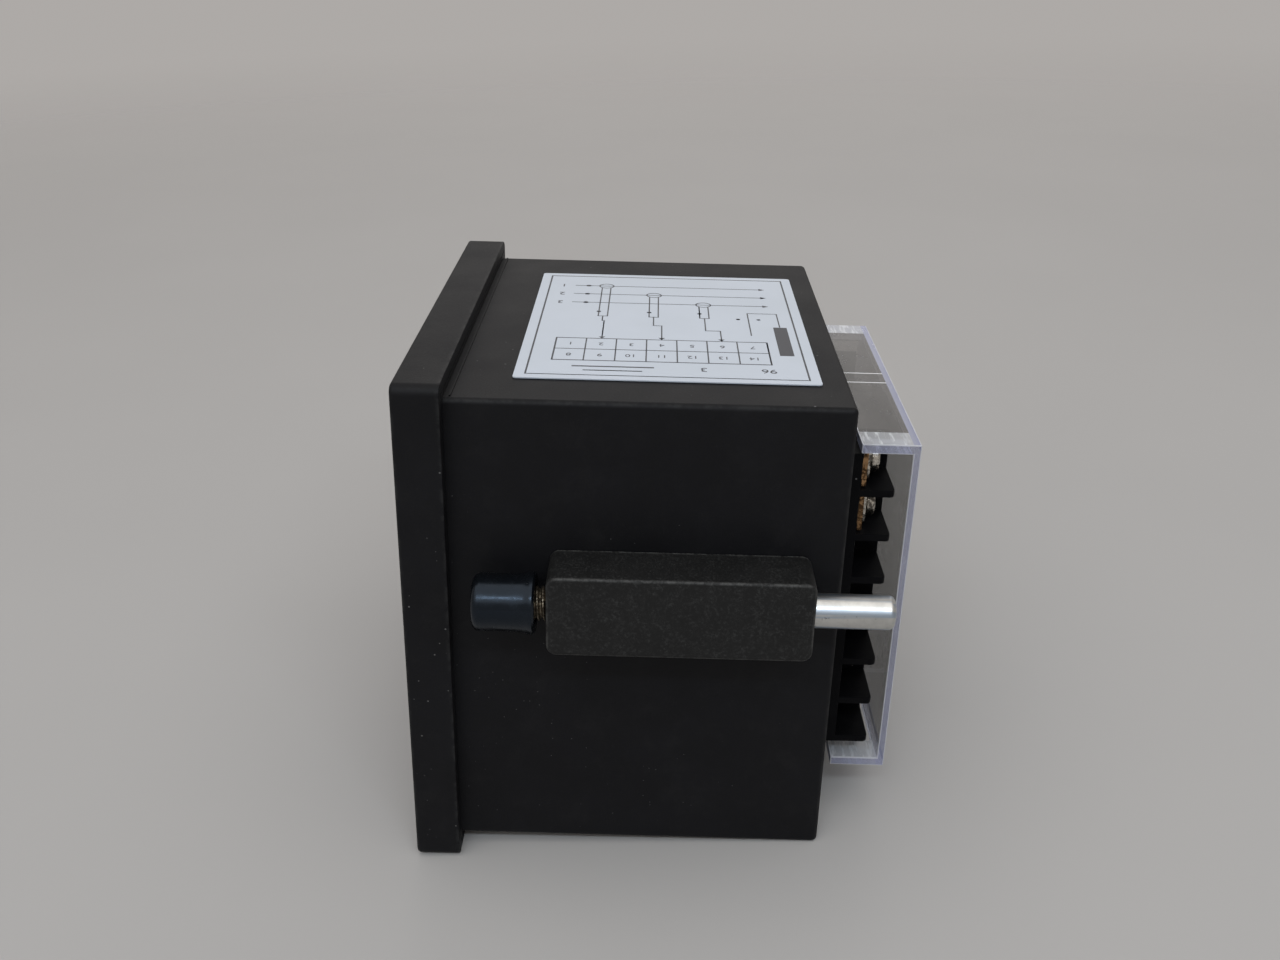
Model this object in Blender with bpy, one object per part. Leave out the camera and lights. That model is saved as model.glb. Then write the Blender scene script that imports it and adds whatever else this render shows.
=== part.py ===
"""Panel ammeter: a square digital meter for a 92 mm panel cut-out.

The meter's own zero is the middle of the panel plane, where the bezel's rear face meets the panel:
+X is the right side seen from the front, +Y runs to the rear, +Z is up. One empty carries every
piece and stands the meter on the ground, with the origin under the middle of its bounding box.
"""

import math

import bmesh
import bpy
from mathutils import Matrix, Vector

# All sizes in metres
GAP = 0.0003
OVERRUN = 0.001

# Case, a box open at the front
CASE_SIZE = 0.0896
CASE_DEPTH = 0.0685
CASE_WALL = 0.0022
CASE_CORNER = 0.0010
CASE_NOSE = 0.0050
RIM_STEP = 0.0010
RIM_DEPTH = 0.0007
SNAP_LENGTH = 0.010
SNAP_OFFSET = 0.020
SNAP_HEIGHT = 0.0006
SNAP_WIDTH = 0.0012
SNAP_SETBACK = 0.0022
BOSS_SIZE = 0.008
BOSS_LENGTH = 0.012
RAIL_REACH = 0.0030
RAIL_THICKNESS = 0.0015
RAIL_SETBACK = 0.0060

# Bezel
BEZEL_OVERLAP = 0.0032
BEZEL_DEPTH = 0.0082
BEZEL_CORNER = 0.0018
BEZEL_EDGE = 0.0007
BEZEL_BORDER = 0.0080
BEZEL_LIP = 0.0015

# Window pane and the mask behind it
PANE_CLEARANCE = 0.0010
PANE_THICKNESS = 0.0020
MASK_THICKNESS = 0.0010
MASK_LAP = 0.0005

# Display
DIGIT_COUNT = 4
DIGIT_PITCH = 0.0128
DIGIT_WIDTH = 0.0124
DIGIT_HEIGHT = 0.0190
DIGIT_THICKNESS = 0.0080
DIGIT_EDGE = 0.0004
DISPLAY_RISE = 0.0050

# Boards
BOARD_THICKNESS = 0.0016
BOARD_CLEARANCE = 0.0005
MAIN_BOARD_DROP = 0.0224
MAIN_BOARD_SETBACK = 0.0013
TERMINAL_BOARD_STANDOFF = 0.0026
TERMINAL_BOARD_MARGIN = 0.0026
TERMINAL_BOARD_HEADROOM = 0.0046
TERMINAL_BOARD_DROP = 0.0070

# Board screws
SCREW_SHANK = 0.0028
SCREW_HEAD = 0.0054
SCREW_HEAD_HEIGHT = 0.0020
SCREW_DOME = 0.0006
SCREW_SLOT = 0.0008
SCREW_SLOT_DEPTH = 0.0009
SCREW_LENGTH = 0.0080
SHORT_SCREW_LENGTH = 0.0044
SCREW_BOSS = 0.0070
SCREW_TOP_INSET = 0.0040
SCREW_FOOT_INSET = 0.0035

# Parts on the boards
PART_SPACING = 0.0030
ROW_CLEARANCE = 0.0006
CHIP_WIDTH = 0.0505
CHIP_HEIGHT = 0.0135
CHIP_THICKNESS = 0.0035
CHIP_RISE = 0.0245
CHIP_EDGE = 0.0005
SOCKET_THICKNESS = 0.0030
SOCKET_LAP = 0.0005
FRONT_HEADER_WIDTH = 0.030
REAR_HEADER_WIDTH = 0.014
HEADER_DEPTH = 0.0085
HEADER_HEIGHT = 0.0025
CORE_WIDTH = 0.030
CORE_STACK = 0.016
WINDING_CORNER = 0.0015
RESERVOIR_SIZE = 0.010
RESERVOIR_HEIGHT = 0.016
RESERVOIR_GROOVE = 0.0005
RESERVOIR_EDGE = 0.0006
RECTIFIER_SIZE = 0.0090
RECTIFIER_HEIGHT = 0.0055
REGULATOR_WIDTH = 0.010
REGULATOR_THICKNESS = 0.0045
REGULATOR_BODY = 0.0090
REGULATOR_TAB = 0.0065
REGULATOR_TAB_THICKNESS = 0.0013
REGULATOR_HOLE = 0.0036
TRIMMER_SIZE = 0.0095
TRIMMER_HEIGHT = 0.0048
TRIMMER_EDGE = 0.0004
ROTOR_SIZE = 0.0050
ROTOR_HEIGHT = 0.0012
ROTOR_PIN = 0.0020
ROTOR_PIN_LENGTH = 0.0025
ROTOR_SLOT = 0.0008
FUSE_SIZE = 0.0052
FUSE_GLASS = 0.0046
FUSE_LENGTH = 0.020
FUSE_CAP = 0.0055
CLIP_THICKNESS = 0.0005
CLIP_LENGTH = 0.0045
SUPPRESSOR_LENGTH = 0.016
SUPPRESSOR_THICKNESS = 0.0060
SUPPRESSOR_HEIGHT = 0.011
SUPPRESSOR_EDGE = 0.0006
VARISTOR_SIZE = 0.010
VARISTOR_THICKNESS = 0.0040
VARISTOR_EDGE = 0.0010
RING_SIZE = 0.024
RING_HOLE = 0.0090
RING_THICKNESS = 0.010
RING_EDGE = 0.0010
RING_SIDE_INSET = 0.0060
RING_TOP_INSET = 0.0040
PRIMARY_WIRE = 0.0022
PRIMARY_REACH = 0.0060
PRIMARY_BEND = 0.0040
PRIMARY_MARGIN = 0.0025

# Terminal strips
CELL_COUNT = 7
CELL_PITCH = 0.0088
BARRIER = 0.0014
BARRIER_REACH = 0.0098
BARRIER_CORNER = 0.0010
STRIP_WIDTH = 0.0121
STRIP_INSET = 0.0113
STRIP_SETBACK = 0.0007
STRIP_SPINE = 0.0016
STRIP_FLOOR = 0.0032
STRIP_RISE = 0.00145

# Terminals
PLATE_THICKNESS = 0.0008
PLATE_LENGTH = 0.0092
TAB_WIDTH = 0.0040
TAB_INSET = 0.0012
TERMINAL_SHANK = 0.0035
TERMINAL_HEAD = 0.0056
TERMINAL_HEAD_HEIGHT = 0.0015
TERMINAL_DOME = 0.0005
TERMINAL_SLOT = 0.0009
TERMINAL_SLOT_DEPTH = 0.0007
TERMINAL_SHANK_LENGTH = 0.0050
WASHER_SIZE = 0.0066
WASHER_THICKNESS = 0.0006
WASHER_CORNER = 0.0006

# Terminal cover, a clear channel open at both sides
COVER_FRONT = 0.0029
COVER_HEADROOM = 0.0018
COVER_WALL = 0.0014
COVER_EDGE = 0.0005
COVER_BAND = 0.0058
COVER_BAND_STEP = 0.0004
COVER_RIB = 0.0053
COVER_RIB_STEP = 0.0006
LUG_WIDTH = 0.0050
LUG_THICKNESS = 0.0020
LUG_REACH = 0.0045

# Wiring label
LABEL_LENGTH = 0.0660
LABEL_DEPTH = 0.0532
LABEL_SETBACK = 0.0104
LABEL_OFFSET = 0.0015
LABEL_THICKNESS = 0.0002
LABEL_GAP = 0.0001
LABEL_CORNER = 0.0006

# Panel clamps, one on each side
CLAMP_FRONT = 0.0175
CLAMP_SETBACK = 0.0057
CLAMP_THICKNESS = 0.0102
CLAMP_HEIGHT = 0.0150
CLAMP_RISE = 0.0100
CLAMP_CORNER = 0.0018
CLAMP_EDGE = 0.0005
PEG_LENGTH = 0.0050
PEG_HEIGHT = 0.0060
PEG_REACH = 0.0018
ROD_SIZE = 0.0060
ROD_BACK = 0.0083
ROD_EDGE = 0.0009
ROD_SOCKET = 0.0030
ROD_SOCKET_DEPTH = 0.0020
THREAD_PITCH = 0.0010
THREAD_DEPTH = 0.0004
THREAD_TURNS = 7
CAP_FRONT = 0.0047
CAP_LENGTH = 0.0108
CAP_SIZE = 0.0100
CAP_FLARE = 0.0004
CAP_FLARE_LENGTH = 0.0022
CAP_FLOOR = 0.0015
CAP_EDGE = 0.0012

# Places given as shares of what carries the piece, and the core's lamination
PEG_PLACE_SHARES = (0.2, 0.8)
CORE_LEG_SHARE = 1 / 3
CORE_YOKE_SHARE = 1 / 6
CORE_HEIGHT_SHARE = 5 / 6

# Counts of segments
ROUND_STEPS = 24
SMALL_STEPS = 16
SOCKET_SIDES = 6
CORNER_SEGMENTS = 3
EDGE_SEGMENTS = 2
WIRE_POINTS = 6

SHARP_ANGLE = math.radians(35)

# Sizes that follow
CASE_HALF = CASE_SIZE / 2
INNER_HALF = CASE_HALF - CASE_WALL
RIM_HALF = CASE_HALF + RIM_STEP
BEZEL_HALF = CASE_HALF + BEZEL_OVERLAP
OPENING_HALF = BEZEL_HALF - BEZEL_BORDER
PANE_HALF = INNER_HALF - PANE_CLEARANCE
PANE_FRONT = -BEZEL_DEPTH + BEZEL_LIP + GAP
PANE_BACK = PANE_FRONT + PANE_THICKNESS
MASK_FRONT = PANE_BACK + GAP
MASK_BACK = MASK_FRONT + MASK_THICKNESS
DIGIT_FRONT = MASK_BACK + GAP
DIGIT_BACK = DIGIT_FRONT + DIGIT_THICKNESS
DISPLAY_HALF = ((DIGIT_COUNT - 1) * DIGIT_PITCH + DIGIT_WIDTH) / 2
BOARD_HALF = INNER_HALF - BOARD_CLEARANCE
DISPLAY_BOARD_FRONT = DIGIT_BACK + GAP
DISPLAY_BOARD_BACK = DISPLAY_BOARD_FRONT + BOARD_THICKNESS
BOSS_FRONT = DISPLAY_BOARD_BACK + GAP
BOSS_CENTRE = INNER_HALF - BOSS_SIZE / 2
REAR_WALL = CASE_DEPTH - CASE_WALL
TERMINAL_BOARD_BACK = REAR_WALL - TERMINAL_BOARD_STANDOFF
TERMINAL_BOARD_FRONT = TERMINAL_BOARD_BACK - BOARD_THICKNESS
MAIN_BOARD_TOP = -MAIN_BOARD_DROP
MAIN_BOARD_FOOT = MAIN_BOARD_TOP - BOARD_THICKNESS
MAIN_BOARD_FRONT = DISPLAY_BOARD_BACK + MAIN_BOARD_SETBACK
MAIN_BOARD_BACK = TERMINAL_BOARD_FRONT - GAP
PART_FOOT = MAIN_BOARD_TOP + GAP
FRONT_HEADER_START = DISPLAY_BOARD_BACK + GAP
FRONT_HEADER_END = FRONT_HEADER_START + HEADER_DEPTH
REAR_HEADER_START = MAIN_BOARD_BACK - HEADER_DEPTH
MIDDLE_ROW = (FRONT_HEADER_END + REAR_HEADER_START) / 2
REAR_ROW = MAIN_BOARD_BACK - PART_SPACING - max(SUPPRESSOR_THICKNESS, FUSE_SIZE) / 2
ROW_HALF = INNER_HALF - RAIL_REACH - ROW_CLEARANCE
CORE_LEG = CORE_LEG_SHARE * CORE_WIDTH
CORE_YOKE = CORE_YOKE_SHARE * CORE_WIDTH
CORE_HEIGHT = CORE_HEIGHT_SHARE * CORE_WIDTH
TERMINAL_BOARD_HALF = INNER_HALF - TERMINAL_BOARD_MARGIN
TERMINAL_BOARD_TOP = INNER_HALF - TERMINAL_BOARD_HEADROOM
TERMINAL_BOARD_FOOT = MAIN_BOARD_FOOT - TERMINAL_BOARD_DROP
BOARD_SCREW_TOP = TERMINAL_BOARD_TOP - SCREW_TOP_INSET
BOARD_SCREW_FOOT = TERMINAL_BOARD_FOOT + SCREW_FOOT_INSET
RING_OFFSET = TERMINAL_BOARD_HALF - RING_SIZE / 2 - RING_SIDE_INSET
RING_RISE = TERMINAL_BOARD_TOP - RING_SIZE / 2 - RING_TOP_INSET
STRIP_BASE = CASE_DEPTH + GAP
STRIP_SEAT = STRIP_BASE + STRIP_FLOOR
STRIP_REAR = CASE_DEPTH + BARRIER_REACH
STRIP_OUTER = CASE_HALF - STRIP_INSET
STRIP_INNER = STRIP_OUTER - STRIP_WIDTH
STRIP_HEIGHT = CELL_COUNT * CELL_PITCH - GAP
STRIP_BOTTOM = STRIP_RISE - STRIP_HEIGHT / 2
STRIP_TOP = STRIP_RISE + STRIP_HEIGHT / 2
CELL_INNER = STRIP_INNER + STRIP_SPINE
PLATE_BACK = STRIP_SEAT + GAP + PLATE_THICKNESS
WASHER_BACK = PLATE_BACK + GAP + WASHER_THICKNESS
TERMINAL_REACH = CELL_INNER + GAP + WASHER_SIZE / 2
HEAD_FRONT = WASHER_BACK + GAP
COVER_LENGTH = 2 * (STRIP_OUTER + STRIP_SETBACK)
COVER_INNER = STRIP_TOP + GAP + COVER_BAND_STEP
COVER_HALF = COVER_INNER + COVER_WALL
COVER_START = CASE_DEPTH + COVER_FRONT
COVER_FLOOR = STRIP_REAR + COVER_HEADROOM + COVER_BAND_STEP
COVER_END = COVER_FLOOR + COVER_WALL
CLAMP_BACK = CASE_DEPTH - CLAMP_SETBACK
CLAMP_INNER = CASE_HALF + GAP
ROD_CENTRE = CASE_HALF + GAP + CAP_SIZE / 2 + CAP_FLARE
CLAMP_LENGTH = CLAMP_BACK - CLAMP_FRONT
ROD_END = CASE_DEPTH + ROD_BACK
ROD_START = CAP_FRONT + CAP_FLOOR + GAP
CAP_BACK = CAP_FRONT + CAP_LENGTH

for leftover in list(bpy.data.objects):
    bpy.data.objects.remove(leftover)

# The meter stands with the bezel's lower edge on the ground
FRAME = bpy.data.objects.new("meter_frame", None)
FRAME.location = (0, (BEZEL_DEPTH - COVER_END) / 2, BEZEL_HALF)
bpy.context.scene.collection.objects.link(FRAME)


# Finishes
def finish(name, colour, roughness, metallic=0.0, alpha=1.0):
    material = bpy.data.materials.new(name)
    material.use_nodes = True
    shader = material.node_tree.nodes["Principled BSDF"]
    shader.inputs["Base Color"].default_value = (*colour, 1)
    shader.inputs["Roughness"].default_value = roughness
    shader.inputs["Metallic"].default_value = metallic
    shader.inputs["Alpha"].default_value = alpha
    return material


BLACK_MOULDING = finish("black_moulding", (0.012, 0.012, 0.013), 0.55)
CLAMP_MOULDING = finish("clamp_moulding", (0.018, 0.018, 0.018), 0.7)
GLOSS_RUBBER = finish("gloss_rubber", (0.006, 0.006, 0.008), 0.2)
SMOKED_ACRYLIC = finish("smoked_acrylic", (0.05, 0.004, 0.005), 0.08, alpha=0.6)
CLEAR_ACRYLIC = finish("clear_acrylic", (0.85, 0.86, 0.92), 0.05, alpha=0.3)
BLACK_MASK = finish("black_mask", (0.008, 0.008, 0.009), 0.35)
DIGIT_FACE = finish("digit_face", (0.05, 0.05, 0.05), 0.4)
GREEN_BOARD = finish("green_board", (0.02, 0.12, 0.04), 0.4)
CHIP_BLACK = finish("chip_black", (0.015, 0.015, 0.016), 0.5)
BOARD_STEEL = finish("board_steel", (0.55, 0.56, 0.58), 0.35, 1.0)
CORE_STEEL = finish("core_steel", (0.35, 0.35, 0.36), 0.5, 1.0)
WINDING_TAPE = finish("winding_tape", (0.6, 0.45, 0.08), 0.5)
CAPACITOR_SLEEVE = finish("capacitor_sleeve", (0.01, 0.02, 0.09), 0.35)
SUPPRESSOR_YELLOW = finish("suppressor_yellow", (0.55, 0.38, 0.03), 0.4)
VARISTOR_BLUE = finish("varistor_blue", (0.02, 0.07, 0.3), 0.4)
TRIMMER_BLUE = finish("trimmer_blue", (0.02, 0.08, 0.35), 0.4)
ROTOR_BRASS = finish("rotor_brass", (0.7, 0.5, 0.2), 0.3, 1.0)
FUSE_GLAZE = finish("fuse_glaze", (0.75, 0.77, 0.78), 0.2, 0.6)
RING_POTTING = finish("ring_potting", (0.02, 0.02, 0.025), 0.45)
COPPER = finish("copper", (0.72, 0.32, 0.17), 0.3, 1.0)
TERMINAL_BRASS = finish("terminal_brass", (0.75, 0.58, 0.3), 0.3, 1.0)
NICKEL = finish("nickel", (0.66, 0.62, 0.55), 0.25, 1.0)
ZINC = finish("zinc", (0.72, 0.74, 0.78), 0.3, 1.0)
LABEL_FILM = finish("label_film", (0.56, 0.6, 0.66), 0.35)


# Building blocks
def span(*ends):
    """The lower and upper of two ends."""
    return min(ends), max(ends)


def corners(across, along, up):
    """The low and high corner of a box from its three spans."""
    spans = [span(*ends) for ends in (across, along, up)]
    return Vector([low for low, high in spans]), Vector([high for low, high in spans])


def add_box(bm, across, along, up):
    low, high = corners(across, along, up)
    made = bmesh.ops.create_cube(bm, size=1)["verts"]
    bmesh.ops.scale(bm, vec=high - low, verts=made)
    bmesh.ops.translate(bm, vec=(low + high) / 2, verts=made)
    return made


def link(name, bm, material=None, place=(0, 0, 0), smooth=False):
    """Makes a bmesh into an object that the frame carries; bm is in the meter's own places."""
    bmesh.ops.translate(bm, vec=-Vector(place), verts=bm.verts)
    mesh = bpy.data.meshes.new(name)
    bm.to_mesh(mesh)
    bm.free()
    if smooth:
        mesh.shade_smooth()
        mesh.set_sharp_from_angle(angle=SHARP_ANGLE)
    piece = bpy.data.objects.new(name, mesh)
    piece.location = place
    piece.parent = FRAME
    bpy.context.scene.collection.objects.link(piece)
    if material:
        mesh.materials.append(material)
    return piece


def boxes(name, spans, material=None):
    bm = bmesh.new()
    for across, along, up in spans:
        add_box(bm, across, along, up)
    return link(name, bm, material)


def combine(target, operation, tool):
    tool.hide_render = True
    tool.display_type = "WIRE"
    step = target.modifiers.new(tool.name, "BOOLEAN")
    step.operation = operation
    step.solver = "EXACT"
    step.object = tool


def cut(target, tool):
    combine(target, "DIFFERENCE", tool)


def fuse(target, tool):
    combine(target, "UNION", tool)


def parallel(axis):
    """Chooses the edges that run along an axis."""
    others = [i for i in range(3) if i != axis]

    def chosen(edge):
        a, b = (vert.co for vert in edge.verts)
        return all(abs(a[i] - b[i]) < GAP for i in others)

    return chosen


def on_plane(axis, value):
    """Chooses the edges that lie on a plane across an axis."""

    def chosen(edge):
        return all(abs(vert.co[axis] - value) < GAP / 2 for vert in edge.verts)

    return chosen


def round_edges(bm, chosen, radius, segments=EDGE_SEGMENTS):
    edges = [edge for edge in bm.edges if chosen(edge)]
    bmesh.ops.bevel(bm, geom=edges, offset=radius, segments=segments, profile=0.5, affect="EDGES")


def rounded_box(across, along, up, radius, axis=None, segments=EDGE_SEGMENTS):
    """A box whose edges along an axis, or all edges, are rounded."""
    bm = bmesh.new()
    add_box(bm, across, along, up)
    chosen = parallel(axis) if axis is not None else lambda edge: True
    round_edges(bm, chosen, radius, segments)
    return bm


def turned(profile, centre, axis="Y", steps=ROUND_STEPS, closed=False):
    """Turns a profile of (radius, place along the axis) points about an axis through centre."""
    bm = bmesh.new()
    verts = [bm.verts.new((radius, 0, along)) for radius, along in profile]
    pairs = list(zip(verts, verts[1:]))
    if closed:
        pairs.append((verts[-1], verts[0]))
    edges = [bm.edges.new(pair) for pair in pairs]
    bmesh.ops.spin(
        bm,
        geom=verts + edges,
        cent=(0, 0, 0),
        axis=(0, 0, 1),
        angle=2 * math.pi,
        steps=steps,
        use_merge=True,
    )
    bmesh.ops.remove_doubles(bm, verts=bm.verts, dist=GAP / ROUND_STEPS)
    turns = {
        "X": Matrix.Rotation(math.pi / 2, 3, "Y"),
        "Y": Matrix.Rotation(-math.pi / 2, 3, "X"),
        "Z": Matrix.Identity(3),
    }
    bmesh.ops.rotate(bm, cent=(0, 0, 0), matrix=turns[axis], verts=bm.verts)
    bmesh.ops.translate(bm, vec=centre, verts=bm.verts)
    bmesh.ops.recalc_face_normals(bm, faces=bm.faces)
    return bm


def cylinder(radius, start, end, centre, axis="Y", steps=SMALL_STEPS):
    return turned([(0, start), (radius, start), (radius, end), (0, end)], centre, axis, steps)


def bore(target, radius, start, end, centre, axis="Y", steps=SMALL_STEPS):
    name = f"{target.name}_bore_{len(target.modifiers) + 1}"
    cut(target, link(name, cylinder(radius, start, end, centre, axis, steps)))


def both(value):
    """The span from minus a value to plus the value."""
    return -value, value


def around(centre, width):
    return centre - width / 2, centre + width / 2


# Where the cells of a terminal strip are
def cell_floor(number):
    """Height of the barrier's upper face under a cell, counted from the top."""
    return STRIP_BOTTOM + BARRIER + (CELL_COUNT - number) * CELL_PITCH


def cell_middle(number):
    return cell_floor(number) + (CELL_PITCH - BARRIER) / 2


TERMINALS = ((1, 1, 1), (2, 1, 2), (3, -1, CELL_COUNT - 1), (4, -1, CELL_COUNT))


# Bezel, window and mask
def make_bezel():
    bm = bmesh.new()
    add_box(bm, both(BEZEL_HALF), (-BEZEL_DEPTH, 0), both(BEZEL_HALF))
    round_edges(bm, parallel(1), BEZEL_CORNER, CORNER_SEGMENTS)
    round_edges(bm, on_plane(1, -BEZEL_DEPTH), BEZEL_EDGE)
    bezel = link("bezel", bm, BLACK_MOULDING)
    steps = (
        ("bezel_opening", OPENING_HALF, -BEZEL_DEPTH - OVERRUN),
        ("bezel_pane_seat", PANE_HALF + GAP, -BEZEL_DEPTH + BEZEL_LIP),
        ("bezel_case_seat", CASE_HALF + GAP, -CASE_NOSE - GAP),
        ("bezel_rim_seat", RIM_HALF + GAP, -RIM_DEPTH - GAP),
    )
    for name, half, start in steps:
        cut(bezel, boxes(name, [(both(half), (start, OVERRUN), both(half))]))
    cut(bezel, boxes("bezel_snap_seats", [snap(across, up, GAP) for across, up in snap_places()]))
    return bezel


def snap_places():
    return [(side * SNAP_OFFSET, up) for side in (-1, 1) for up in (-1, 1)]


def snap(across, up, ease):
    """The spans of one snap nub, or of its seat where an ease is given."""
    root = up * (CASE_HALF - OVERRUN)
    tip = up * (CASE_HALF + SNAP_HEIGHT + ease)
    back = -SNAP_SETBACK + ease
    return (
        around(across, SNAP_LENGTH + 2 * ease),
        (back - SNAP_WIDTH - 2 * ease, back),
        (root, tip),
    )


def make_window():
    bm = rounded_box(both(PANE_HALF), (PANE_FRONT, PANE_BACK), both(PANE_HALF), GAP, axis=1)
    return link("window", bm, SMOKED_ACRYLIC)


def make_mask():
    mask = boxes(
        "display_mask", [(both(PANE_HALF), (MASK_FRONT, MASK_BACK), both(PANE_HALF))], BLACK_MASK
    )
    wide = DISPLAY_HALF - MASK_LAP
    tall = DIGIT_HEIGHT / 2 - MASK_LAP
    hole = (
        both(wide),
        (MASK_FRONT - OVERRUN, MASK_BACK + OVERRUN),
        (DISPLAY_RISE - tall, DISPLAY_RISE + tall),
    )
    cut(mask, boxes("mask_opening", [hole]))
    return mask


# Display and its board
def make_digits():
    for number in range(DIGIT_COUNT):
        middle = (number - (DIGIT_COUNT - 1) / 2) * DIGIT_PITCH
        bm = rounded_box(
            around(middle, DIGIT_WIDTH),
            (DIGIT_FRONT, DIGIT_BACK),
            around(DISPLAY_RISE, DIGIT_HEIGHT),
            DIGIT_EDGE,
            axis=1,
        )
        link(f"display_digit_{number + 1}", bm, DIGIT_FACE)


def corner_places():
    return [(x * BOSS_CENTRE, z * BOSS_CENTRE) for x in (-1, 1) for z in (-1, 1)]


def make_display_board():
    board = boxes(
        "display_board",
        [(both(BOARD_HALF), (DISPLAY_BOARD_FRONT, DISPLAY_BOARD_BACK), both(BOARD_HALF))],
        GREEN_BOARD,
    )
    for across, up in corner_places():
        ends = (DISPLAY_BOARD_FRONT - OVERRUN, DISPLAY_BOARD_BACK + OVERRUN)
        bore(board, SCREW_SHANK / 2 + GAP, *ends, (across, 0, up))
    return board


def board_screw(name, seat, length, across, up):
    """A pan head screw whose head rests just in front of a board's face at seat."""
    under = seat - GAP
    top = under - SCREW_HEAD_HEIGHT
    tip = under + length
    profile = [
        (0, top),
        (SCREW_HEAD / 2 - SCREW_DOME, top),
        (SCREW_HEAD / 2, top + SCREW_DOME),
        (SCREW_HEAD / 2, under),
        (SCREW_SHANK / 2, under),
        (SCREW_SHANK / 2, tip - SCREW_DOME),
        (SCREW_SHANK / 2 - SCREW_DOME, tip),
        (0, tip),
    ]
    bm = turned(profile, (across, 0, up), steps=SMALL_STEPS)
    screw = link(name, bm, BOARD_STEEL, (across, under, up), smooth=True)
    slot = (
        around(across, SCREW_HEAD + OVERRUN),
        (top - OVERRUN, top + SCREW_SLOT_DEPTH),
        around(up, SCREW_SLOT),
    )
    cut(screw, boxes(f"{name}_slot", [slot]))
    return screw


def make_board_screws():
    for number, (across, up) in enumerate(corner_places(), 1):
        name = f"display_board_screw_{number}"
        board_screw(name, DISPLAY_BOARD_FRONT, SCREW_LENGTH, across, up)
    for number, up in enumerate((BOARD_SCREW_TOP, BOARD_SCREW_FOOT), 1):
        name = f"terminal_board_screw_{number}"
        board_screw(name, TERMINAL_BOARD_FRONT, SHORT_SCREW_LENGTH, 0, up)


def make_controller():
    back = DISPLAY_BOARD_BACK + GAP
    wide, tall = CHIP_WIDTH / 2 + SOCKET_LAP, CHIP_HEIGHT + 2 * SOCKET_LAP
    socket_back = back + SOCKET_THICKNESS
    boxes("chip_socket", [(both(wide), (back, socket_back), around(CHIP_RISE, tall))], CHIP_BLACK)
    bm = rounded_box(
        both(CHIP_WIDTH / 2),
        (socket_back + GAP, socket_back + GAP + CHIP_THICKNESS),
        around(CHIP_RISE, CHIP_HEIGHT),
        CHIP_EDGE,
        segments=1,
    )
    link("controller_chip", bm, CHIP_BLACK)


# Main board and what stands on it
def make_main_board():
    along = (MAIN_BOARD_FRONT, MAIN_BOARD_BACK)
    up = (MAIN_BOARD_FOOT, MAIN_BOARD_TOP)
    boxes("main_board", [(both(BOARD_HALF), along, up)], GREEN_BOARD)
    header_up = (PART_FOOT, PART_FOOT + HEADER_HEIGHT)
    header_along = (FRONT_HEADER_START, FRONT_HEADER_END)
    boxes("display_header", [(both(FRONT_HEADER_WIDTH / 2), header_along, header_up)], CHIP_BLACK)


def row_places(widths):
    """Middles of pieces spread evenly across the main board, between its rails."""
    middles, edge = [], -ROW_HALF
    space = (2 * ROW_HALF - sum(widths)) / (len(widths) - 1)
    for width in widths:
        middles.append(edge + width / 2)
        edge += width + space
    return middles


def middle_row():
    pair = max(RESERVOIR_SIZE, RECTIFIER_SIZE)
    return row_places((CORE_WIDTH, RESERVOIR_SIZE, pair, TRIMMER_SIZE))


def rear_row():
    return row_places((REAR_HEADER_WIDTH, VARISTOR_SIZE, SUPPRESSOR_LENGTH, FUSE_LENGTH))


def make_transformer():
    middle = middle_row()[0]
    window = (CORE_WIDTH - CORE_LEG) / 2 - CORE_YOKE
    low, high = PART_FOOT + CORE_YOKE, PART_FOOT + CORE_HEIGHT - CORE_YOKE
    core = boxes(
        "transformer_core",
        [(around(middle, CORE_WIDTH), around(MIDDLE_ROW, CORE_STACK), (PART_FOOT, PART_FOOT + CORE_HEIGHT))],
        CORE_STEEL,
    )
    through = around(MIDDLE_ROW, CORE_STACK + 2 * OVERRUN)
    windows = [
        ((middle + side * CORE_LEG / 2, middle + side * (CORE_LEG / 2 + window)), through, (low, high))
        for side in (-1, 1)
    ]
    cut(core, boxes("core_windows", windows))

    thick = window - 2 * GAP
    hole = (CORE_LEG / 2 + GAP, CORE_STACK / 2 + GAP)
    up = (low + GAP, high - GAP)
    bm = rounded_box(
        around(middle, 2 * (hole[0] + thick)),
        around(MIDDLE_ROW, 2 * (hole[1] + thick)),
        up,
        WINDING_CORNER,
        axis=2,
    )
    winding = link("transformer_winding", bm, WINDING_TAPE)
    tall = (low - OVERRUN, high + OVERRUN)
    opening = (around(middle, 2 * hole[0]), around(MIDDLE_ROW, 2 * hole[1]), tall)
    cut(winding, boxes("winding_hole", [opening]))


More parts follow.
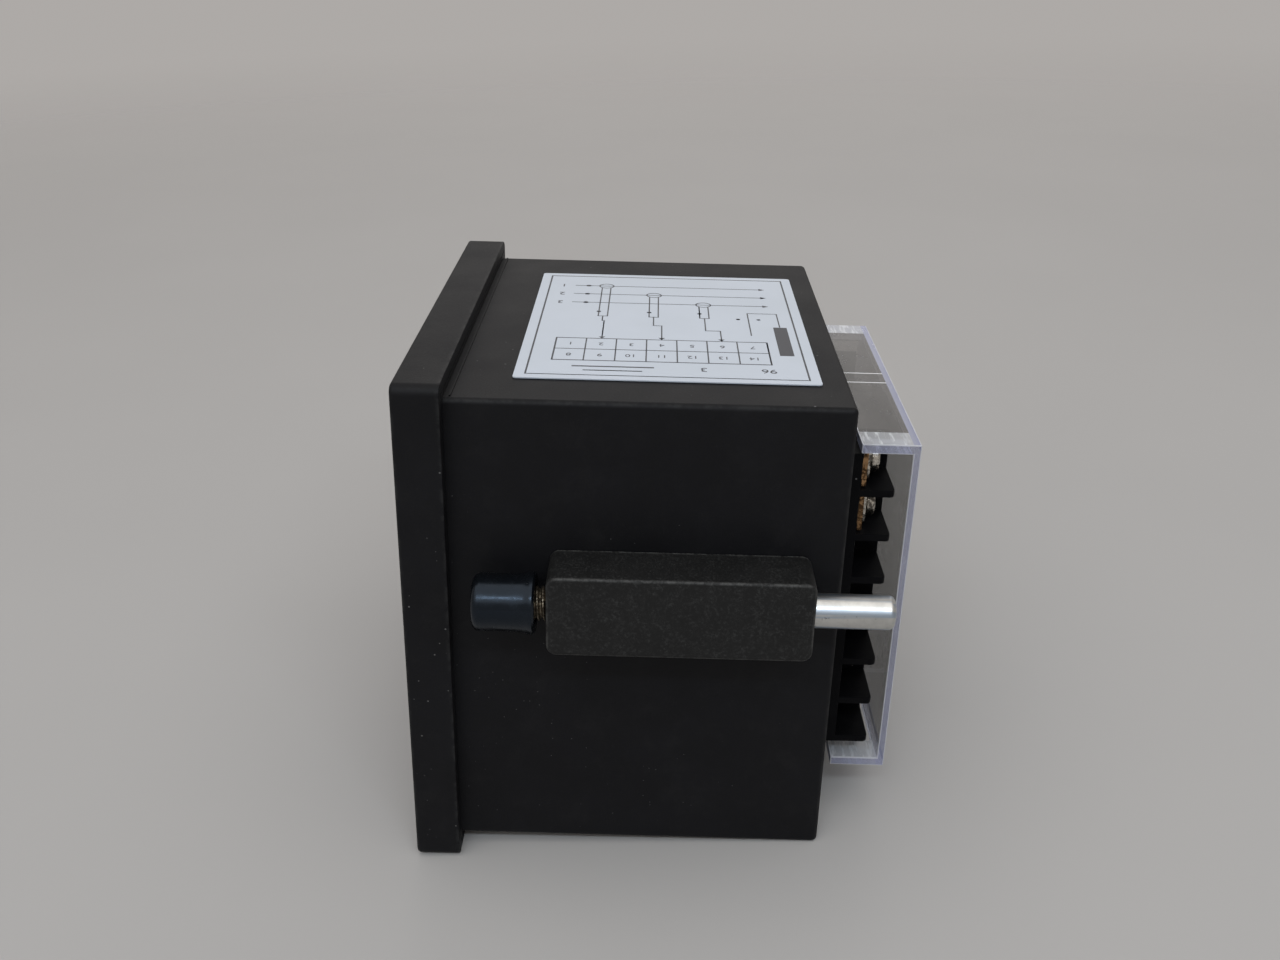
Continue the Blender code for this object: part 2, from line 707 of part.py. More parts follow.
def make_power_parts():
    radius, top = RESERVOIR_SIZE / 2, PART_FOOT + RESERVOIR_HEIGHT
    profile = [
        (0, PART_FOOT),
        (radius - RESERVOIR_EDGE, PART_FOOT),
        (radius, PART_FOOT + RESERVOIR_EDGE),
        (radius, PART_FOOT + RESERVOIR_EDGE * 3),
        (radius - RESERVOIR_GROOVE, PART_FOOT + RESERVOIR_EDGE * 4),
        (radius, PART_FOOT + RESERVOIR_EDGE * 5),
        (radius, top - RESERVOIR_EDGE),
        (radius - RESERVOIR_EDGE, top),
        (0, top),
    ]
    across = middle_row()[1]
    shift = (RESERVOIR_SIZE + PART_SPACING) / 2
    for number, side in enumerate((-1, 1), 1):
        centre = (across, MIDDLE_ROW + side * shift, 0)
        bm = turned(profile, centre, "Z", SMALL_STEPS)
        link(f"reservoir_capacitor_{number}", bm, CAPACITOR_SLEEVE, smooth=True)

    across = middle_row()[2]
    profile = [
        (0, PART_FOOT),
        (RECTIFIER_SIZE / 2, PART_FOOT),
        (RECTIFIER_SIZE / 2, PART_FOOT + RECTIFIER_HEIGHT),
        (0, PART_FOOT + RECTIFIER_HEIGHT),
    ]
    bm = turned(profile, (across, MIDDLE_ROW + shift, 0), "Z", SMALL_STEPS)
    link("rectifier", bm, CHIP_BLACK, smooth=True)

    back = MIDDLE_ROW - shift
    wide = around(across, REGULATOR_WIDTH)
    body_top = PART_FOOT + REGULATOR_BODY
    regulator = boxes(
        "regulator", [(wide, around(back, REGULATOR_THICKNESS), (PART_FOOT, body_top))], CHIP_BLACK
    )
    tab_back = back + REGULATOR_THICKNESS / 2
    tab_top = body_top + REGULATOR_TAB
    tab = (wide, (tab_back - REGULATOR_TAB_THICKNESS, tab_back), (body_top - OVERRUN, tab_top))
    fuse(regulator, boxes("regulator_tab", [tab]))
    hole = (across, 0, body_top + REGULATOR_TAB / 2)
    ends = (back - REGULATOR_THICKNESS, back + REGULATOR_THICKNESS)
    bore(regulator, REGULATOR_HOLE / 2, *ends, hole)


def make_trimmer():
    across, top = middle_row()[3], PART_FOOT + TRIMMER_HEIGHT
    bm = rounded_box(
        around(across, TRIMMER_SIZE),
        around(MIDDLE_ROW, TRIMMER_SIZE),
        (PART_FOOT, top),
        TRIMMER_EDGE,
        axis=2,
        segments=1,
    )
    body = link("trimmer_body", bm, TRIMMER_BLUE)
    depth = ROTOR_PIN_LENGTH + GAP
    centre = (across, MIDDLE_ROW, 0)
    bore(body, ROTOR_PIN / 2 + GAP, top - depth, top + OVERRUN, centre, "Z")

    seat = top + GAP
    profile = [
        (0, top - ROTOR_PIN_LENGTH),
        (ROTOR_PIN / 2, top - ROTOR_PIN_LENGTH),
        (ROTOR_PIN / 2, seat),
        (ROTOR_SIZE / 2, seat),
        (ROTOR_SIZE / 2, seat + ROTOR_HEIGHT),
        (0, seat + ROTOR_HEIGHT),
    ]
    bm = turned(profile, centre, "Z", SMALL_STEPS)
    rotor = link("trimmer_rotor", bm, ROTOR_BRASS, (across, MIDDLE_ROW, seat), smooth=True)
    slot = (
        around(across, ROTOR_SIZE + OVERRUN),
        around(MIDDLE_ROW, ROTOR_SLOT),
        (seat + ROTOR_HEIGHT / 2, seat + ROTOR_HEIGHT + OVERRUN),
    )
    cut(rotor, boxes("rotor_slot", [slot]))


def make_mains_parts():
    header_middle, disc_middle, box_middle, fuse_middle = rear_row()
    axis_height = PART_FOOT + CLIP_THICKNESS + GAP + FUSE_SIZE / 2
    half = FUSE_LENGTH / 2
    profile = [
        (0, -half),
        (FUSE_SIZE / 2, -half),
        (FUSE_SIZE / 2, FUSE_CAP - half),
        (FUSE_GLASS / 2, FUSE_CAP - half),
        (FUSE_GLASS / 2, half - FUSE_CAP),
        (FUSE_SIZE / 2, half - FUSE_CAP),
        (FUSE_SIZE / 2, half),
        (0, half),
    ]
    centre = (fuse_middle, REAR_ROW, axis_height)
    link("fuse", turned(profile, centre, "X", SMALL_STEPS), FUSE_GLAZE, smooth=True)

    inside, outside = FUSE_SIZE / 2 + GAP, FUSE_SIZE / 2 + GAP + CLIP_THICKNESS
    for number, side in enumerate((-1, 1), 1):
        middle = fuse_middle + side * (half - FUSE_CAP / 2)
        wide = around(middle, CLIP_LENGTH)
        clip = boxes(
            f"fuse_clip_{number}",
            [(wide, around(REAR_ROW, 2 * outside), (PART_FOOT, axis_height + FUSE_SIZE / 2))],
            NICKEL,
        )
        channel = (
            around(middle, CLIP_LENGTH + 2 * OVERRUN),
            around(REAR_ROW, 2 * inside),
            (PART_FOOT + CLIP_THICKNESS, axis_height + FUSE_SIZE),
        )
        cut(clip, boxes(f"fuse_clip_{number}_channel", [channel]))

    bm = rounded_box(
        around(box_middle, SUPPRESSOR_LENGTH),
        around(REAR_ROW, SUPPRESSOR_THICKNESS),
        (PART_FOOT, PART_FOOT + SUPPRESSOR_HEIGHT),
        SUPPRESSOR_EDGE,
        axis=2,
    )
    link("suppression_capacitor", bm, SUPPRESSOR_YELLOW)

    radius, thick = VARISTOR_SIZE / 2, VARISTOR_THICKNESS / 2
    profile = [
        (0, -thick),
        (radius - VARISTOR_EDGE, -thick),
        (radius, VARISTOR_EDGE - thick),
        (radius, thick - VARISTOR_EDGE),
        (radius - VARISTOR_EDGE, thick),
        (0, thick),
    ]
    centre = (disc_middle, REAR_ROW, PART_FOOT + radius)
    link("varistor", turned(profile, centre, "Y", SMALL_STEPS), VARISTOR_BLUE, smooth=True)

    header = (
        around(header_middle, REAR_HEADER_WIDTH),
        (REAR_HEADER_START, MAIN_BOARD_BACK),
        (PART_FOOT, PART_FOOT + HEADER_HEIGHT),
    )
    boxes("terminal_header", [header], CHIP_BLACK)


# Terminal board and the current transformer on it
def make_terminal_board():
    board = boxes(
        "terminal_board",
        [
            (
                both(TERMINAL_BOARD_HALF),
                (TERMINAL_BOARD_FRONT, TERMINAL_BOARD_BACK),
                (TERMINAL_BOARD_FOOT, TERMINAL_BOARD_TOP),
            )
        ],
        GREEN_BOARD,
    )
    ends = (TERMINAL_BOARD_FRONT - OVERRUN, TERMINAL_BOARD_BACK + OVERRUN)
    for up in (BOARD_SCREW_TOP, BOARD_SCREW_FOOT):
        bore(board, SCREW_SHANK / 2 + GAP, *ends, (0, 0, up))


def make_current_transformer():
    back = TERMINAL_BOARD_FRONT - GAP
    front = back - RING_THICKNESS
    inside, outside = RING_HOLE / 2, RING_SIZE / 2
    profile = [
        (inside, front),
        (outside - RING_EDGE, front),
        (outside, front + RING_EDGE),
        (outside, back - RING_EDGE),
        (outside - RING_EDGE, back),
        (inside, back),
    ]
    bm = turned(profile, (RING_OFFSET, 0, RING_RISE), closed=True)
    link("current_transformer", bm, RING_POTTING, smooth=True)

    radius = PRIMARY_WIRE / 2
    foot = RING_RISE - outside - PRIMARY_MARGIN - radius
    turn = front - PRIMARY_REACH
    top = RING_RISE
    points = [Vector((RING_OFFSET, back, top))]
    for level, side in ((top, 1), (foot, -1)):
        bend = Vector((RING_OFFSET, turn + PRIMARY_BEND, level - side * PRIMARY_BEND))
        start = math.pi / 2 if side > 0 else math.pi
        for step in range(WIRE_POINTS + 1):
            angle = start + step / WIRE_POINTS * math.pi / 2
            reach = Vector((0, math.cos(angle), math.sin(angle))) * PRIMARY_BEND
            points.append(bend + reach)
    points.append(Vector((RING_OFFSET, back, foot)))
    curve = bpy.data.curves.new("primary_wire", "CURVE")
    curve.dimensions = "3D"
    curve.bevel_depth = radius
    curve.bevel_resolution = 2
    curve.use_fill_caps = True
    line = curve.splines.new("POLY")
    line.points.add(len(points) - 1)
    for point, place in zip(line.points, points):
        point.co = (*place, 1)
    curve.materials.append(COPPER)
    wire = bpy.data.objects.new("primary_wire", curve)
    wire.parent = FRAME
    bpy.context.scene.collection.objects.link(wire)


# Case
def make_case():
    bm = bmesh.new()
    add_box(bm, both(CASE_HALF), (-CASE_NOSE, CASE_DEPTH), both(CASE_HALF))
    round_edges(bm, parallel(1), CASE_CORNER)
    round_edges(bm, on_plane(1, CASE_DEPTH), CASE_CORNER)
    case = link("case_shell", bm, BLACK_MOULDING)

    rim = (both(RIM_HALF), (-RIM_DEPTH, 0), both(RIM_HALF))
    fuse(case, boxes("case_rim", [rim]))
    fuse(case, boxes("case_snaps", [snap(across, up, 0) for across, up in snap_places()]))
    hollow = (both(INNER_HALF), (-CASE_NOSE - OVERRUN, REAR_WALL), both(INNER_HALF))
    cut(case, boxes("case_hollow", [hollow]))
    fuse(case, boxes("case_corner_bosses", [corner_boss(x, z) for x in (-1, 1) for z in (-1, 1)]))
    fuse(case, boxes("case_rails", rails()))
    fuse(case, boxes("case_board_bosses", [board_boss(BOARD_SCREW_TOP), board_boss(BOARD_SCREW_FOOT)]))
    fuse(case, boxes("case_cover_lugs", [cover_lug(up) for up in (-1, 1)]))
    cut(case, boxes("case_tab_slots", [tab_slot(side, number) for _, side, number in TERMINALS]))
    cut(case, boxes("case_peg_holes", [hole for side in (-1, 1) for hole in pegs(side, GAP)]))
    tip = DISPLAY_BOARD_FRONT + SCREW_LENGTH
    for across, up in corner_places():
        bore(case, SCREW_SHANK / 2 + GAP, BOSS_FRONT - OVERRUN, tip, (across, 0, up))
    tip = TERMINAL_BOARD_FRONT + SHORT_SCREW_LENGTH
    for up in (BOARD_SCREW_TOP, BOARD_SCREW_FOOT):
        start = TERMINAL_BOARD_BACK + GAP - OVERRUN
        bore(case, SCREW_SHANK / 2 + GAP, start, tip, (0, 0, up))
    return case


def corner_boss(x, z):
    inner, outer = INNER_HALF - BOSS_SIZE, INNER_HALF + CASE_WALL / 2
    return (x * inner, x * outer), (BOSS_FRONT, BOSS_FRONT + BOSS_LENGTH), (z * inner, z * outer)


def rails():
    """Two pairs of rails that hold the main board's edges."""
    front = MAIN_BOARD_FRONT + RAIL_SETBACK
    back = MAIN_BOARD_BACK - RAIL_SETBACK
    made = []
    for side in (-1, 1):
        wide = (side * (INNER_HALF - RAIL_REACH), side * (INNER_HALF + CASE_WALL / 2))
        for face, thick in ((MAIN_BOARD_TOP + GAP, RAIL_THICKNESS), (MAIN_BOARD_FOOT - GAP, -RAIL_THICKNESS)):
            made.append((wide, (front, back), (face, face + thick)))
    return made


def board_boss(up):
    front = TERMINAL_BOARD_BACK + GAP
    return around(0, SCREW_BOSS), (front, REAR_WALL + CASE_WALL / 2), around(up, SCREW_BOSS)


def cover_lug(up):
    top = COVER_INNER - COVER_RIB_STEP - GAP
    along = (REAR_WALL + CASE_WALL / 2, CASE_DEPTH + LUG_REACH)
    return around(0, LUG_WIDTH), along, (up * (top - LUG_THICKNESS), up * top)


def tab_slot(side, number, along=None):
    """The slot that lets a terminal's tab through the rear wall or the strip's floor."""
    outer = STRIP_OUTER - TAB_INSET + GAP
    inner = outer - PLATE_THICKNESS - 2 * GAP
    along = along or (REAR_WALL - OVERRUN, CASE_DEPTH + OVERRUN)
    return (side * inner, side * outer), along, around(cell_middle(number), TAB_WIDTH + 2 * GAP)


def pegs(side, ease):
    """The clamp's two pegs, or the holes that take them where an ease is given."""
    made = []
    for share in PEG_PLACE_SHARES:
        middle = CLAMP_FRONT + share * CLAMP_LENGTH
        root = CLAMP_INNER + OVERRUN
        tip = INNER_HALF - PEG_REACH if not ease else INNER_HALF - OVERRUN
        made.append(
            (
                (side * tip, side * root),
                around(middle, PEG_LENGTH + 2 * ease),
                around(CLAMP_RISE, PEG_HEIGHT + 2 * ease),
            )
        )
    return made


# Terminals
def make_terminal_strip(name, side):
    strip = boxes(
        name,
        [((side * STRIP_INNER, side * STRIP_OUTER), (STRIP_BASE, STRIP_SEAT), (STRIP_BOTTOM, STRIP_TOP))],
        BLACK_MOULDING,
    )
    spine = (
        (side * STRIP_INNER, side * CELL_INNER),
        (STRIP_BASE + GAP, STRIP_REAR),
        (STRIP_BOTTOM + GAP, STRIP_TOP - GAP),
    )
    fuse(strip, boxes(f"{name}_spine", [spine]))
    bm = bmesh.new()
    for number in range(1, CELL_COUNT + 1):
        top = cell_floor(number)
        add_box(
            bm,
            (side * (CELL_INNER - STRIP_SPINE / 2), side * (STRIP_OUTER - GAP * (number < CELL_COUNT))),
            (STRIP_BASE + STRIP_FLOOR / 2, STRIP_REAR),
            (top - BARRIER, top),
        )
    outer = [
        edge
        for edge in bm.edges
        if parallel(2)(edge)
        and all(vert.co.y > STRIP_REAR - GAP for vert in edge.verts)
        and all(abs(vert.co.x) > STRIP_OUTER - GAP * 2 for vert in edge.verts)
    ]
    bmesh.ops.bevel(
        bm, geom=outer, offset=BARRIER_CORNER, segments=EDGE_SEGMENTS, profile=0.5, affect="EDGES"
    )
    fuse(strip, link(f"{name}_barriers", bm))
    floor = (STRIP_BASE - OVERRUN, STRIP_SEAT + OVERRUN)
    numbers = [number for _, where, number in TERMINALS if where == side]
    slots = [tab_slot(side, number, floor) for number in numbers]
    cut(strip, boxes(f"{name}_tab_slots", slots))
    for number in numbers:
        centre = (side * TERMINAL_REACH, 0, cell_middle(number))
        bore(strip, TERMINAL_SHANK / 2 + GAP, *floor, centre)


def make_terminal(number, side, cell):
    up = cell_middle(cell)
    centre = (side * TERMINAL_REACH, 0, up)
    tall = CELL_PITCH - BARRIER - 2 * GAP
    tab_outer = STRIP_OUTER - TAB_INSET
    front = STRIP_SEAT + GAP
    plate = boxes(
        f"terminal_plate_{number}",
        [((side * (CELL_INNER + GAP), side * tab_outer), (front, PLATE_BACK), around(up, tall))],
        TERMINAL_BRASS,
    )
    tab = (
        (side * (tab_outer - PLATE_THICKNESS), side * tab_outer),
        (TERMINAL_BOARD_BACK + GAP, front + PLATE_THICKNESS / 2),
        around(up, TAB_WIDTH),
    )
    fuse(plate, boxes(f"terminal_tab_{number}", [tab]))
    clearance = TERMINAL_SHANK / 2 + GAP
    bore(plate, clearance, front - OVERRUN, PLATE_BACK + OVERRUN, centre)

    bm = rounded_box(
        around(side * TERMINAL_REACH, WASHER_SIZE),
        (WASHER_BACK - WASHER_THICKNESS, WASHER_BACK),
        around(up, WASHER_SIZE),
        WASHER_CORNER,
        axis=1,
        segments=1,
    )
    place = (side * TERMINAL_REACH, WASHER_BACK, up)
    washer = link(f"terminal_washer_{number}", bm, NICKEL, place)
    bore(washer, clearance, PLATE_BACK, WASHER_BACK + OVERRUN, centre)

    radius, top = TERMINAL_HEAD / 2, HEAD_FRONT + TERMINAL_HEAD_HEIGHT
    tip = HEAD_FRONT - TERMINAL_SHANK_LENGTH
    shank = TERMINAL_SHANK / 2
    profile = [
        (0, tip),
        (shank - TERMINAL_DOME, tip),
        (shank, tip + TERMINAL_DOME),
        (shank, HEAD_FRONT),
        (radius, HEAD_FRONT),
        (radius, top - TERMINAL_DOME),
        (radius - TERMINAL_DOME, top),
        (0, top),
    ]
    bm = turned(profile, centre, steps=SMALL_STEPS)
    place = (side * TERMINAL_REACH, HEAD_FRONT, up)
    screw = link(f"terminal_screw_{number}", bm, NICKEL, place, smooth=True)
    slot = (
        around(centre[0], TERMINAL_HEAD + OVERRUN),
        (top - TERMINAL_SLOT_DEPTH, top + OVERRUN),
        around(up, TERMINAL_SLOT),
    )
    cut(screw, boxes(f"terminal_slot_{number}", [slot]))


# Terminal cover
def make_terminal_cover():
    bm = bmesh.new()
    across = COVER_LENGTH / 2
    add_box(bm, both(across), (COVER_START, COVER_END), both(COVER_HALF))
    back_edges = [edge for edge in bm.edges if parallel(0)(edge) and on_plane(1, COVER_END)(edge)]
    bmesh.ops.bevel(
        bm, geom=back_edges, offset=COVER_EDGE, segments=EDGE_SEGMENTS, profile=0.5, affect="EDGES"
    )
    cover = link("terminal_cover", bm, CLEAR_ACRYLIC)
    inner = COVER_INNER - COVER_BAND_STEP
    floor = COVER_FLOOR - COVER_BAND_STEP
    channel = (both(across + OVERRUN), (COVER_START - OVERRUN, floor), both(inner))
    cut(cover, boxes("cover_channel", [channel]))
    middle = (both(across - COVER_BAND), (COVER_START - OVERRUN, COVER_FLOOR), both(COVER_INNER))
    cut(cover, boxes("cover_thin_middle", [middle]))
    root = COVER_INNER + COVER_WALL / 2
    ribs = [
        (
            around(0, COVER_RIB),
            (COVER_START + GAP, COVER_END - COVER_WALL / 2),
            (up * (COVER_INNER - COVER_RIB_STEP), up * root),
        )
        for up in (-1, 1)
    ]
    fuse(cover, boxes("cover_ribs", ribs))


def make_label():
    foot = CASE_HALF + LABEL_GAP
    bm = rounded_box(
        around(LABEL_OFFSET, LABEL_LENGTH),
        (LABEL_SETBACK, LABEL_SETBACK + LABEL_DEPTH),
        (foot, foot + LABEL_THICKNESS),
        LABEL_CORNER,
        axis=2,
    )
    link("wiring_label", bm, LABEL_FILM)


# Panel clamps
def make_clamp(name, side):
    middle = side * ROD_CENTRE
    outer = side * (CLAMP_INNER + CLAMP_THICKNESS)
    bm = bmesh.new()
    add_box(bm, (side * CLAMP_INNER, outer), (CLAMP_FRONT, CLAMP_BACK), around(CLAMP_RISE, CLAMP_HEIGHT))
    round_edges(bm, parallel(0), CLAMP_CORNER, CORNER_SEGMENTS)
    round_edges(bm, on_plane(0, outer), CLAMP_EDGE)
    place = (middle, CLAMP_FRONT + CLAMP_LENGTH / 2, CLAMP_RISE)
    block = link(f"clamp_block_{name}", bm, CLAMP_MOULDING, place)
    fuse(block, boxes(f"clamp_pegs_{name}", pegs(side, 0)))
    centre = (middle, 0, CLAMP_RISE)
    ends = (CLAMP_FRONT - OVERRUN, CLAMP_BACK + OVERRUN)
    bore(block, ROD_SIZE / 2 + GAP, *ends, centre, steps=ROUND_STEPS)

    rod_radius = ROD_SIZE / 2
    profile = [(0, ROD_START), (rod_radius - THREAD_DEPTH, ROD_START)]
    thread_end = CLAMP_FRONT + THREAD_PITCH
    thread_start = thread_end - THREAD_TURNS * THREAD_PITCH
    for turn in range(THREAD_TURNS):
        crest = thread_start + turn * THREAD_PITCH
        profile.append((rod_radius - THREAD_DEPTH, crest))
        profile.append((rod_radius, crest + THREAD_PITCH / 2))
    profile += [
        (rod_radius - THREAD_DEPTH, thread_end),
        (rod_radius, thread_end + THREAD_PITCH),
        (rod_radius, ROD_END - ROD_EDGE),
        (rod_radius - ROD_EDGE / 3, ROD_END - ROD_EDGE / 3),
        (rod_radius - ROD_EDGE, ROD_END),
        (0, ROD_END),
    ]
    bm = turned(profile, centre)
    rod = link(f"clamp_rod_{name}", bm, ZINC, (middle, ROD_START, CLAMP_RISE), smooth=True)
    socket_radius = ROD_SOCKET / 2 / math.cos(math.pi / SOCKET_SIDES)
    socket_ends = (ROD_END - ROD_SOCKET_DEPTH, ROD_END + OVERRUN)
    bore(rod, socket_radius, *socket_ends, centre, steps=SOCKET_SIDES)

    radius, hole = CAP_SIZE / 2, rod_radius + GAP
    profile = [
        (0, CAP_FRONT),
        (radius - CAP_EDGE, CAP_FRONT),
        (radius - CAP_EDGE / 3, CAP_FRONT + CAP_EDGE / 3),
        (radius, CAP_FRONT + CAP_EDGE),
        (radius, CAP_BACK - CAP_FLARE_LENGTH),
        (radius + CAP_FLARE, CAP_BACK - CAP_FLARE_LENGTH / 3),
        (radius + CAP_FLARE, CAP_BACK),
        (hole, CAP_BACK),
        (hole, CAP_FRONT + CAP_FLOOR),
        (0, CAP_FRONT + CAP_FLOOR),
    ]
    bm = turned(profile, centre)
    link(f"rod_cap_{name}", bm, GLOSS_RUBBER, (middle, CAP_FRONT, CLAMP_RISE), smooth=True)


def main():
    make_bezel()
    make_window()
    make_mask()
    make_digits()
    make_display_board()
    make_board_screws()
    make_controller()
    make_main_board()
    make_transformer()
    make_power_parts()
    make_trimmer()
    make_mains_parts()
    make_terminal_board()
    make_current_transformer()
    make_case()
    make_terminal_strip("terminal_strip_right", 1)
    make_terminal_strip("terminal_strip_left", -1)
    for terminal in TERMINALS:
        make_terminal(*terminal)
    make_terminal_cover()
    make_label()
    make_clamp("right", 1)
    make_clamp("left", -1)


main()
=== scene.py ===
"""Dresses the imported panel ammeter: its mouldings, label, clamps, terminals and clear cover."""
import math

import bmesh
import bpy
from bpy.props import FloatProperty, FloatVectorProperty, PointerProperty
from mathutils import Matrix, Vector


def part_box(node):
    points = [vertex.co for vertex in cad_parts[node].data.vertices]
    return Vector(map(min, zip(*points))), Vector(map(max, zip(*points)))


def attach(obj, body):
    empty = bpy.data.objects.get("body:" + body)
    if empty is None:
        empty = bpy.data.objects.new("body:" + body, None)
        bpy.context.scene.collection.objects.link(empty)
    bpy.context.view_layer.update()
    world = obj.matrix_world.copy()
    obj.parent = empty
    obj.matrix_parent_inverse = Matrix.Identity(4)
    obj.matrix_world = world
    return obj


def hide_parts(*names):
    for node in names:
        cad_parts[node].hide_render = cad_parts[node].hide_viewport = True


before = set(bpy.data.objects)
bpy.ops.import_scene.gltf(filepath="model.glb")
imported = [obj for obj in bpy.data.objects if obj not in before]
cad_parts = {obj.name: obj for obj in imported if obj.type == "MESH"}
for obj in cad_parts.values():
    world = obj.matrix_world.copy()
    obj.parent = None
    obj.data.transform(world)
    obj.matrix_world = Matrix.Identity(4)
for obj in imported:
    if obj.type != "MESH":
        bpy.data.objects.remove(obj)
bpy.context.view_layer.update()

bl_info = {
    "name": "Panel ammeter",
    "version": (1, 0, 0),
    "blender": (4, 5, 0),
    "location": "View3D > Sidebar > Meter",
    "description": "Models and finishes a square panel ammeter round its packed solids",
    "category": "Object",
}

BEZEL_LOW, BEZEL_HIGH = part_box("bezel")
# Middle of the panel plane. Pieces are modelled round it in millimetres and then settled there
ORIGIN = Vector((0, BEZEL_HIGH.y, (BEZEL_LOW.z + BEZEL_HIGH.z) / 2))
MM = 0.001
AXES = {"X": Vector((1, 0, 0)), "Y": Vector((0, 1, 0)), "Z": Vector((0, 0, 1))}
SIDES = (-1, 1)
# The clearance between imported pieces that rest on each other
GAP = 0.3
# How far a cutter runs past what it cuts
PAST = 1.0
# How far the case's locating rim stands out from its walls
RIM = 1.0
# How near points count as in one place
SLACK = 0.001
CELLS = 7
SCREW_HOLE = 2.05
THREAD_TURNS = 7
ROOT_SINK = 0.05
DIGIT_BAR = 0.4
TEXT_SCALE = 1.38
# Where the floor begins and ends its fade into the backdrop, from the meter outwards
FLOOR_FADE = (450, 1500)
WORN_BLACK = (0.05, 0.05, 0.048)
DRY_DUST = (0.2, 0.195, 0.19)
# Painted reflection: the dark blue of the bands along the clamp rods
PAINTED_BLUE_REFLECTION = (0.32, 0.4, 0.5)
CAMERA_PLACE = (0.24099, -0.00296, 0.16898)
# The camera's angle round the meter, its height over the floor and its small roll, in degrees
CAMERA_TURNS = (90.328, 24.623, 1.394)
FOCAL_PIXELS, FRAME_PIXELS, SENSOR = 1282.3, 1280, 36
# Each soft light: its place, width, height, setting and tint
LAMPS = {
    "top_light": ((1.0, -0.3, 2.3), 4.2, 4.2, "top", (1.0, 0.985, 0.965)),
    "window_light": ((1.02, 0.05, 1.08), 1.2, 0.09, "window", (0.75, 0.88, 1.0)),
    "far_light": ((-1.3, 0.1, 0.95), 1.2, 1.2, "far", (1.0, 0.98, 0.96)),
}


def span_of(node):
    """A node's limits in millimetres of the meter's own frame: one (low, high) pair for each axis."""
    low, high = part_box(node)
    return list(zip((low - ORIGIN) / MM, (high - ORIGIN) / MM))


def mid(span):
    return sum(span) / 2


def axis_of(span):
    """Where a piece's axis along Y stands."""
    return mid(span[0]), mid(span[2])


def about(centre, reach):
    return centre - reach, centre + reach


def grown(span, reach):
    return span[0] - reach, span[1] + reach


def sided(side, near, far):
    """Limits on one side of the middle, from near to far."""
    return sorted((side * near, side * far))


# Sizes and colours
def colour(name, description, default):
    return FloatVectorProperty(
        name=name, description=description, default=default, size=3, subtype="COLOR", min=0, max=1
    )


def length(name, description, default):
    return FloatProperty(
        name=name, description=description, default=default, unit="LENGTH", min=0, precision=5
    )


def factor(name, description, default):
    return FloatProperty(
        name=name, description=description, default=default, subtype="FACTOR", min=0, max=1
    )


def power(name, description, default):
    return FloatProperty(name=name, description=description, default=default, unit="POWER")


class HousingSizes(bpy.types.PropertyGroup):
    bezel_corner: length("Bezel corner", "Radius of the bezel's four corners", 0.0018)
    bezel_edge: length("Bezel edge", "Radius round the bezel's front face", 0.0007)
    bezel_border: length("Bezel border", "Width of the frame round the window", 0.008)
    case_edge: length("Case edge", "Radius of the case's long and rear edges", 0.001)
    case_wall: length("Case wall", "Thickness of the case's walls", 0.0022)


class ClampSizes(bpy.types.PropertyGroup):
    block_corner: length("Block corner", "Radius of the clamp block's corners", 0.0018)
    block_edge: length("Block edge", "Radius round the clamp block's outer face", 0.0006)
    rod_edge: length("Rod edge", "Radius of the rod's rear end", 0.0011)
    thread_pitch: length("Thread pitch", "Advance of the rod's thread in one turn", 0.001)
    thread_depth: length("Thread depth", "Depth of the rod's thread", 0.0005)
    cap_flare: length("Cap flare", "How far the cap widens at its open end", 0.0004)


class TerminalSizes(bpy.types.PropertyGroup):
    barrier_corner: length("Barrier corner", "Radius of each barrier's outer rear corner", 0.001)
    barrier_edge: length("Barrier edge", "Small radius on the strips' edges", 0.00018)
    slot_width: length("Slot width", "Width of the terminal screws' slots", 0.0009)
    slot_depth: length("Slot depth", "Depth of the terminal screws' slots", 0.0007)
    cover_edge: length("Cover edge", "Small radius on the clear cover's edges", 0.00025)


class DisplaySizes(bpy.types.PropertyGroup):
    stroke: length("Stroke", "Width of one bar of a digit", 0.0017)
    figure_width: length("Figure width", "Distance between a digit's upright bars", 0.0068)
    figure_height: length("Figure height", "Distance between a digit's top and bottom bars", 0.0128)
    slant: FloatProperty(
        name="Slant", description="Lean of the digits", default=math.radians(8), subtype="ANGLE"
    )


class LabelSizes(bpy.types.PropertyGroup):
    line: length("Line", "Width of a thin printed line", 0.00024)
    heavy_line: length("Heavy line", "Width of the printed frame and bars", 0.0005)
    figure: length("Figure", "Height of a printed number", 0.0019)
    ink: length("Ink", "Thickness of the print", 0.00002)


class Finishes(bpy.types.PropertyGroup):
    moulding: colour("Case moulding", "Matte black of bezel, case and strips", (0.0042, 0.0042, 0.0052))
    block: colour("Clamp moulding", "Grainy black of the clamp blocks", (0.0045, 0.0045, 0.0045))
    rubber: colour("Cap", "Gloss black of the rod caps", (0.0028, 0.0034, 0.0045))
    film: colour("Label film", "Bluish white of the label", (0.6, 0.645, 0.72))
    ink: colour("Ink", "Dark blue-black of the print", (0.018, 0.02, 0.03))
    zinc: colour("Zinc", "Plating of the clamp rods", (0.6, 0.595, 0.57))
    # The threads are darker and browner than the rest of the rod
    thread: colour("Thread", "Darker plating of the rods' threads", (0.3, 0.26, 0.2))
    nickel: colour("Nickel", "Plating of screws and washers", (0.6, 0.56, 0.49))
    brass: colour("Brass", "Metal of the terminal plates", (0.34, 0.2, 0.1))
    cover_edge: colour("Cover edge", "Lilac seen in the clear cover's edges", (0.4, 0.42, 0.6))
    wear: factor("Wear", "How far the edges have worn pale", 0.5)
    dust: factor("Dust", "How much dust lies on the mouldings", 0.5)


